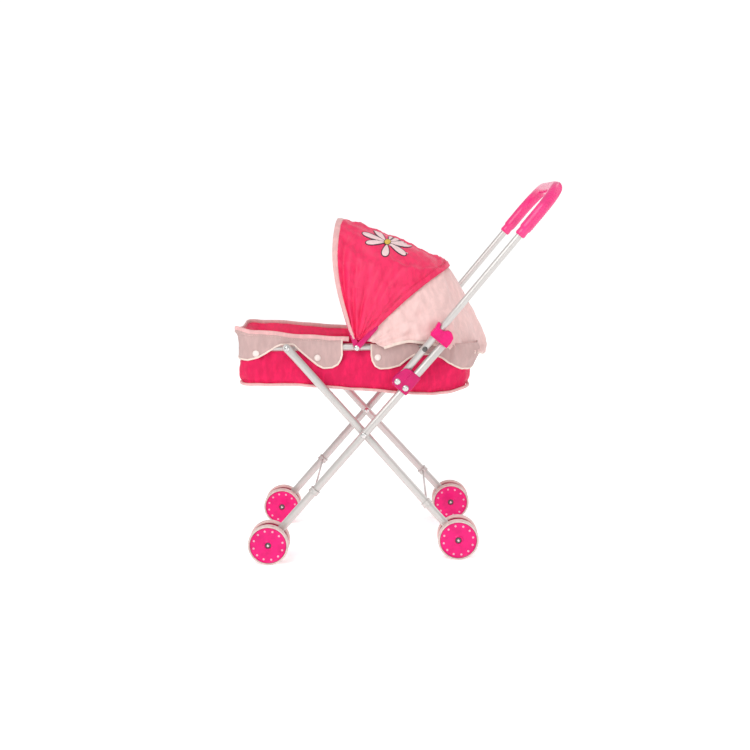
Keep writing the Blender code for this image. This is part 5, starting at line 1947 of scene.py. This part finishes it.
class STROLLER_OT_hood(bpy.types.Operator):
    """Make the hood's front panel, its binding and its sewn channel"""

    bl_idname = "stroller.hood"
    bl_label = "Hood"

    def execute(self, context):
        sizes = cloth_sizes()
        places, share, stations = hood_grid()
        shape = places.shape
        mesh = oriented_grid("hood", transformed(places, HOOD_FRAME), HOOD)
        ids = np.arange(shape[0] * shape[1]).reshape(shape[:2])
        pinned = np.unique(np.concatenate([ids[:2].ravel(), ids[-2:].ravel(), ids[:, 0], ids[:, -1]]))
        settled = buckled(mesh, pinned, sizes.slack_hood, cap=0.0045, pressure=0.25)
        settled = settled.reshape(shape)
        normals = grid_normals(settled, HOOD)
        settled += normals * self.creases(places, share, stations)[..., None]
        settled = edge_cap(settled, HOOD_LIMIT)
        mesh.vertices.foreach_set("co", settled.reshape(-1))
        cloth = show("hood_cloth", thickened(mesh, sizes.thickness), "magenta_cloth", None,
                     ("canopy_front_panel",))
        HOOD_SURFACE["tree"] = BVHTree.FromObject(cloth, bpy.context.evaluated_depsgraph_get())
        fold_band(cloth)
        binding = self.binding(settled, stations)
        rows = []
        width = np.linalg.norm(settled[-1] - settled[0], axis=-1)
        for inset in (0.0098, 0.0122):
            at = np.clip(inset / np.maximum(width, 0.02), 0, 0.6) * (HOOD_ROWS - 1)
            low = at.astype(int)
            part = (at - low)[:, None]
            columns = np.arange(shape[1])
            lines = settled + normals * 0.0002
            line = lines[low, columns] * (1 - part) + lines[low + 1, columns] * part
            rows.append(stitches("hood_stitches", line[4:-4], UP, "magenta_thread"))
        thread = show("hood_stitches", joined("hood_stitches", rows), "magenta_thread", "canopy_mid")
        return {"FINISHED"}

    def creases(self, places, share, stations):
        """Folds that run down to the pivots, the sewn channel, and fine puckering."""
        side = 1.0 - 0.75 * np.sin(np.pi * stations)[None] ** 2.2
        width = np.linalg.norm(places[-1] - places[0], axis=-1)[None]
        from_rear = share * width
        height = -0.0044 * hump(share, 0.895, 0.026) * side - 0.0036 * hump(share, 0.735, 0.024) * side
        height += 0.0022 * hump(share, 0.820, 0.028) * side - 0.0026 * hump(share, 0.42, 0.030) * side
        height -= 0.0022 * hump(share, 0.58, 0.022) * side ** 2
        fan = np.stack(np.broadcast_arrays(share * 0.30, stations[None] * 0.10, np.zeros((1, 1))), -1)
        height += ripple(fan, 0.030, 63) * 0.0016 * side + ripple(fan, 0.012, 64) * 0.0006
        height -= 0.0011 * hump(from_rear, 0.011, 0.0011)
        height += 0.0010 * hump(from_rear, 0.0050, 0.0035)
        height += ripple(places, 0.040, 61) * 0.0012
        height += ripple(places * [1.0, 1.0, 0.30], 0.012, 62) * 0.00050
        edge = np.minimum(share, 1 - share) * width
        height *= 0.25 + 0.75 * smooth_steps(edge / 0.006)
        flower = np.array(HOOD_FRAME.inverted() @ Vector(FLOWER_CENTRE))
        away = np.linalg.norm((places - flower) * [1.0, 0.6, 1.0], axis=-1)
        return height * (1.0 - 0.85 * np.exp(-(away / 0.036) ** 4))

    def binding(self, settled, stations):
        """Folded tape over the front edge, wider over the crest."""
        crest = np.sin(np.pi * stations)[:, None]
        inward = settled[-4] - settled[-1]
        inward /= np.maximum(np.linalg.norm(inward, axis=1), 1e-9)[:, None]
        half = 0.0028 + 0.0019 * crest[:, 0]
        path = settled[-1] + inward * (half - 0.0028)[:, None]
        mesh = sweep("binding", path, tangents(path), inward, 0.0014, half, 16)
        return show("hood_binding", mesh, "binding_tape", "canopy_front")


class STROLLER_OT_back(bpy.types.Operator):
    """Make the hood's soft back, gathered on its elastic hem"""

    bl_idname = "stroller.back"
    bl_label = "Hood back"

    def execute(self, context):
        sizes = cloth_sizes()
        stations = even_stations([REAR_HEM, MID_BOW], 0.012, 141)
        low = arch(REAR_HEM, stations, CLOTH_GROW, FRONT_BOW["half_width"])
        high = arch(folded(MID_BOW, 0.3), stations, CLOTH_GROW - 0.0024, FRONT_BOW["half_width"])
        places = ruled(low, high, 56)
        share = np.linspace(0.0, 1.0, 56)[:, None]
        normals = grid_normals(places, (0.0, 0.0, 0.0))
        places += normals * (np.sin(np.pi * share) * 0.0030)[..., None]
        along = places[..., 0]
        dip = -0.0050 * hump(along, 0.034, 0.016) + 0.0035 * hump(along, 0.078, 0.018)
        near = np.abs(places[..., 1]) > 0.06
        places[..., 2] += np.where(near, dip, 0.0) * (1 - share) ** 3
        behind = smooth_steps((along - 0.10) / 0.05)
        places[..., 2] -= 0.0050 * (1 - share) ** 4 * behind
        places[..., 0] -= 0.0065 * (1 - share) ** 7 * behind
        shape = places.shape
        mesh = oriented_grid("back", transformed(places, HOOD_FRAME), HOOD)
        ids = np.arange(shape[0] * shape[1]).reshape(shape[:2])
        pinned = np.unique(np.concatenate([ids[:1].ravel(), ids[-3:].ravel(), ids[:, 0], ids[:, -1]]))
        settled = buckled(mesh, pinned, sizes.slack_back, cap=0.0070, pressure=0.45)
        settled = settled.reshape(shape)
        flat_rest = transformed(places, HOOD_FRAME)
        taut = np.maximum(smooth_steps(share / 0.16), behind)[..., None]
        settled = flat_rest + (settled - flat_rest) * taut
        normals = grid_normals(settled, HOOD)
        settled += normals * self.puckers(places, share, stations)[..., None]
        settled = edge_cap(settled, HOOD_LIMIT)
        mesh.vertices.foreach_set("co", settled.reshape(-1))
        cloth = show("hood_back", thickened(mesh, sizes.thickness), "pale_cloth", None,
                     ("canopy_rear_panel",))
        fold_band(cloth)
        upward = settled[4] - settled[0]
        upward = np.column_stack([np.convolve(np.pad(axis, 7, "edge"), np.ones(15) / 15, "valid")
                                  for axis in upward.T])
        upward /= np.maximum(np.linalg.norm(upward, axis=1), 1e-9)[:, None]
        hem = band("hood_hem", settled[0] + upward * 0.0016, upward, 0.0009, 0.0024, "cream_tape",
                   "bassinet")
        return {"FINISHED"}

    def puckers(self, places, share, stations):
        """Soft folds from the pivots, and gathers over the hem."""
        side = 1.0 - np.sin(np.pi * stations)[None] ** 3
        height = -0.0020 * hump(share, 0.66, 0.05) * side - 0.0016 * hump(share, 0.34, 0.06) * side
        height += 0.0014 * hump(share, 0.50, 0.06) * side
        run = np.concatenate([[0.0], np.cumsum(np.linalg.norm(np.diff(places[0], axis=0), axis=1))])[None]
        gather = np.sin(run * 2 * math.pi / 0.0088 + 1.3 * np.sin(run * 55.0))
        behind = smooth_steps((places[..., 0] - 0.10) / 0.05)
        height += 0.0016 * gather * np.exp(-(share / 0.16) ** 2) * behind
        spot = np.exp(-((places[..., 0] - 0.150) / 0.018) ** 2 - ((places[..., 2] - 0.027) / 0.014) ** 2)
        height += spot * ripple(places, 0.0075, 71) * 0.0011
        height += ripple(places, 0.036, 72) * 0.0010 + ripple(places, 0.011, 73) * 0.0003
        edge = np.minimum(1.0, (1 - share) / 0.06)
        hem = np.maximum(behind, 0.15 + 0.85 * smooth_steps(share / 0.12))
        return height * edge * hem


# ---- Flower patch ---------------------------------------------------------------------------

FLOWER_CENTRE = (-0.0150, -0.060, 0.4720)
FLOWER_WAY = (-0.004, 0.9995, -0.031)
FLOWER_DISC = (0.0054, 0.0044)
PETALS = ((-0.0366, 0.0150, 0.0036), (-0.0186, 0.0205, 0.0044), (0.0120, 0.0165, 0.0044),
          (0.0265, 0.0075, 0.0036), (0.0380, -0.0055, 0.0048), (0.0270, -0.0195, 0.0044),
          (-0.0045, -0.0200, 0.0066), (-0.0315, 0.0006, 0.0040))


class STROLLER_OT_flower(bpy.types.Operator):
    """Make the plain flower patch on the hood"""

    bl_idname = "stroller.flower"
    bl_label = "Flower patch"

    def execute(self, context):
        way = Vector(FLOWER_WAY).normalized()
        east = way.cross(UP).normalized()
        self.ground = (HOOD_SURFACE["tree"], Vector(FLOWER_CENTRE), -way, east, east.cross(way))
        outlines, petals = [], []
        for east_at, north_at, half in PETALS:
            outlines.append(self.patch(self.petal(east_at, north_at, half, 0.0014), 0.0004))
            petals.append(self.patch(self.petal(east_at, north_at, half, 0.0), 0.0009))
        turns = np.linspace(0, 2 * math.pi, 24, False)
        ring = [(math.cos(turn) * FLOWER_DISC[0], math.sin(turn) * FLOWER_DISC[1]) for turn in turns]
        disc = [(x * 0.84, y * 0.84) for x, y in ring]
        outlines.append(self.patch(ring, 0.0012))
        for name, meshes, finish in (("flower_outline", outlines, "outline_print"),
                                     ("flower_petals", petals, "petal_print"),
                                     ("flower_middle", [self.patch(disc, 0.0016)], "centre_print")):
            made = show(name, joined(name, meshes), finish, None)
            fold_band(made)
        return {"FINISHED"}

    def petal(self, east_at, north_at, half, grow):
        """Outline of a petal from near the middle out to its tip."""
        reach = math.hypot(east_at, north_at)
        way = (east_at / reach, north_at / reach)
        start = 0.0040 - grow
        points = []
        for turn in np.linspace(0, 2 * math.pi, 32, endpoint=False):
            along = (1 - math.cos(turn)) / 2
            distance = start + (reach + grow - start) * along
            girth = math.sin(turn) * (half * (0.38 + 0.66 * along) + grow)
            points.append((way[0] * distance - way[1] * girth, way[1] * distance + way[0] * girth))
        return points

    def patch(self, outline, lift):
        """A filled outline laid on the hood."""
        surface, place, normal, east, north = self.ground
        count = len(outline)
        mid = (sum(x for x, _ in outline) / count, sum(y for _, y in outline) / count)
        rings = []
        for scale in (0.02, 0.2, 0.35, 0.5, 0.65, 0.8, 0.9, 1.0, 1.0):
            low = lift if len(rings) < 8 else 0.0
            ring = []
            for x, y in outline:
                across = mid[0] + (x - mid[0]) * scale
                high = mid[1] + (y - mid[1]) * scale
                flat = place + east * across + north * high
                hit, face, _, _ = surface.ray_cast(flat + normal * 0.06, -normal, 0.11)
                if hit is None:
                    hit, face, _, _ = surface.find_nearest(flat)
                face = face if face.dot(normal) > 0 else -face
                ring.append(tuple(hit + face * low))
            rings.append(ring)
        mesh = grid_mesh("patch", np.array(rings), (False, True))
        cap_rings(mesh, (0,), count)
        if mesh.polygons[0].normal.dot(normal) < 0.0:
            mesh.flip_normals()
        return mesh

# ---- Stage ----------------------------------------------------------------------------------


class StrollerStageSettings(bpy.types.PropertyGroup):
    """Camera, lights and floor."""

    lens: FloatProperty(name="Lens", description="Focal length in millimetres", default=52.82, min=10.0)
    key: FloatProperty(name="Key light", description="Power of the large light", default=23.0, min=0.0)
    fill: FloatProperty(name="Fill light", description="Power of the light from behind", default=9.0,
                        min=0.0)
    room: FloatProperty(name="Room light", description="Strength of the white surroundings", default=0.60,
                        min=0.0)


def aimed(made, place, target):
    """Put a light at a place and point it at a target."""
    way = (Vector(target) - Vector(place)).normalized()
    made.matrix_world = Matrix.Translation(place) @ way.to_track_quat("-Z", "Y").to_matrix().to_4x4()


class STROLLER_OT_stage(bpy.types.Operator):
    """Make the floor, the lights and the camera"""

    bl_idname = "stroller.stage"
    bl_label = "Stage"

    def execute(self, context):
        sizes = context.scene.stroller_stage
        self.floor()
        self.light("key_light", "AREA", sizes.key, (-0.9, -1.5, 1.9), (0.0, 0.0, 0.3), 1.6)
        self.light("fill_light", "AREA", sizes.fill, (1.6, 0.9, 1.5), (0.0, 0.0, 0.3), 1.8)
        self.light("front_light", "AREA", sizes.fill * 0.5, (0.9, -2.2, 0.6), (0.0, 0.0, 0.3), 1.2)
        world = bpy.data.worlds.new("white_room")
        world.use_nodes = True
        back = world.node_tree.nodes["Background"]
        back.inputs["Color"].default_value = (1.0, 1.0, 1.0, 1.0)
        seen = world.node_tree.nodes.new("ShaderNodeLightPath")
        strength = world.node_tree.nodes.new("ShaderNodeMath")
        strength.operation = "MULTIPLY_ADD"
        strength.inputs[1].default_value = 1.02 - sizes.room
        strength.inputs[2].default_value = sizes.room
        world.node_tree.links.new(seen.outputs["Is Camera Ray"], strength.inputs[0])
        world.node_tree.links.new(strength.outputs[0], back.inputs["Strength"])
        context.scene.world = world
        context.scene.view_settings.view_transform = "Standard"
        self.camera(context, sizes.lens)
        return {"FINISHED"}

    def floor(self):
        """Large pale floor that rises at the back."""
        across = np.linspace(-6.0, 6.0, 9)
        deep = np.linspace(-4.0, 6.0, 33)
        rise = np.where(deep > 3.0, (deep - 3.0) ** 2 * 0.35, 0.0)
        places = np.stack(np.broadcast_arrays(across[:, None], deep[None, :], rise[None, :]), -1)
        mesh = grid_mesh("floor", places)
        mesh.flip_normals()
        mesh.materials.append(look("studio_floor"))
        made = bpy.data.objects.new("studio_floor", mesh)
        bpy.context.scene.collection.objects.link(made)

    def light(self, name, kind, power, place, target, size):
        """One soft light."""
        lamp = bpy.data.lights.new(name, kind)
        lamp.energy = power
        lamp.size = size
        made = bpy.data.objects.new(name, lamp)
        bpy.context.scene.collection.objects.link(made)
        aimed(made, place, target)

    def camera(self, context, lens):
        """Camera at the side, a little above, and rolled very slightly."""
        yaw, pitch, roll = (math.radians(angle) for angle in (-1.09, 8.62, -1.93))
        way = Vector((math.sin(yaw) * math.cos(pitch), math.cos(yaw) * math.cos(pitch), -math.sin(pitch)))
        level = way.cross(UP).normalized()
        rise = level.cross(way)
        right = math.cos(roll) * level + math.sin(roll) * rise
        up = math.cos(roll) * rise - math.sin(roll) * level
        lens_data = bpy.data.cameras.new("camera")
        lens_data.lens = lens
        lens_data.sensor_width = 36.0
        lens_data.clip_start = 0.05
        made = bpy.data.objects.new("camera", lens_data)
        turn = Matrix((right, up, -way)).transposed().to_4x4()
        made.matrix_world = Matrix.Translation((-0.0084, -1.7073, 0.523)) @ turn
        context.scene.collection.objects.link(made)
        context.scene.camera = made


class STROLLER_PT_parts(bpy.types.Panel):
    """Buttons for the pieces, and their settings"""

    bl_idname = "STROLLER_PT_parts"
    bl_label = "Doll stroller"
    bl_space_type = "VIEW_3D"
    bl_region_type = "UI"
    bl_category = "Doll stroller"

    def draw(self, context):
        for group in SETTINGS:
            box = self.layout.box()
            box.label(text=group)
            for key in SETTINGS[group].__annotations__:
                box.prop(getattr(context.scene, group), key)
        for operator in OPERATORS:
            self.layout.operator(operator.bl_idname)


SETTINGS = {
    "stroller_frame": StrollerFrameSettings,
    "stroller_wheels": StrollerWheelSettings,
    "stroller_cloth": StrollerClothSettings,
    "stroller_colours": StrollerColours,
    "stroller_stage": StrollerStageSettings,
}
OPERATORS = (
    STROLLER_OT_tubes, STROLLER_OT_clips, STROLLER_OT_rivets, STROLLER_OT_brackets, STROLLER_OT_locks,
    STROLLER_OT_grip, STROLLER_OT_wheels, STROLLER_OT_tub, STROLLER_OT_mattress, STROLLER_OT_rim,
    STROLLER_OT_front_valance, STROLLER_OT_rear_valance, STROLLER_OT_bows, STROLLER_OT_hood,
    STROLLER_OT_back, STROLLER_OT_flower, STROLLER_OT_stage)


def register():
    """Register the settings, operators and panel."""
    for group in SETTINGS.values():
        bpy.utils.register_class(group)
    for key, group in SETTINGS.items():
        setattr(bpy.types.Scene, key, PointerProperty(type=group))
    for operator in OPERATORS:
        bpy.utils.register_class(operator)
    bpy.utils.register_class(STROLLER_PT_parts)


def unregister():
    """Undo register."""
    bpy.utils.unregister_class(STROLLER_PT_parts)
    for operator in reversed(OPERATORS):
        bpy.utils.unregister_class(operator)
    for key in SETTINGS:
        delattr(bpy.types.Scene, key)
    for group in reversed(list(SETTINGS.values())):
        bpy.utils.unregister_class(group)


def main():
    """Build every piece in order."""
    register()
    for operator in OPERATORS:
        group, name = operator.bl_idname.split(".")
        getattr(getattr(bpy.ops, group), name)()


if __name__ == "__main__":
    main()
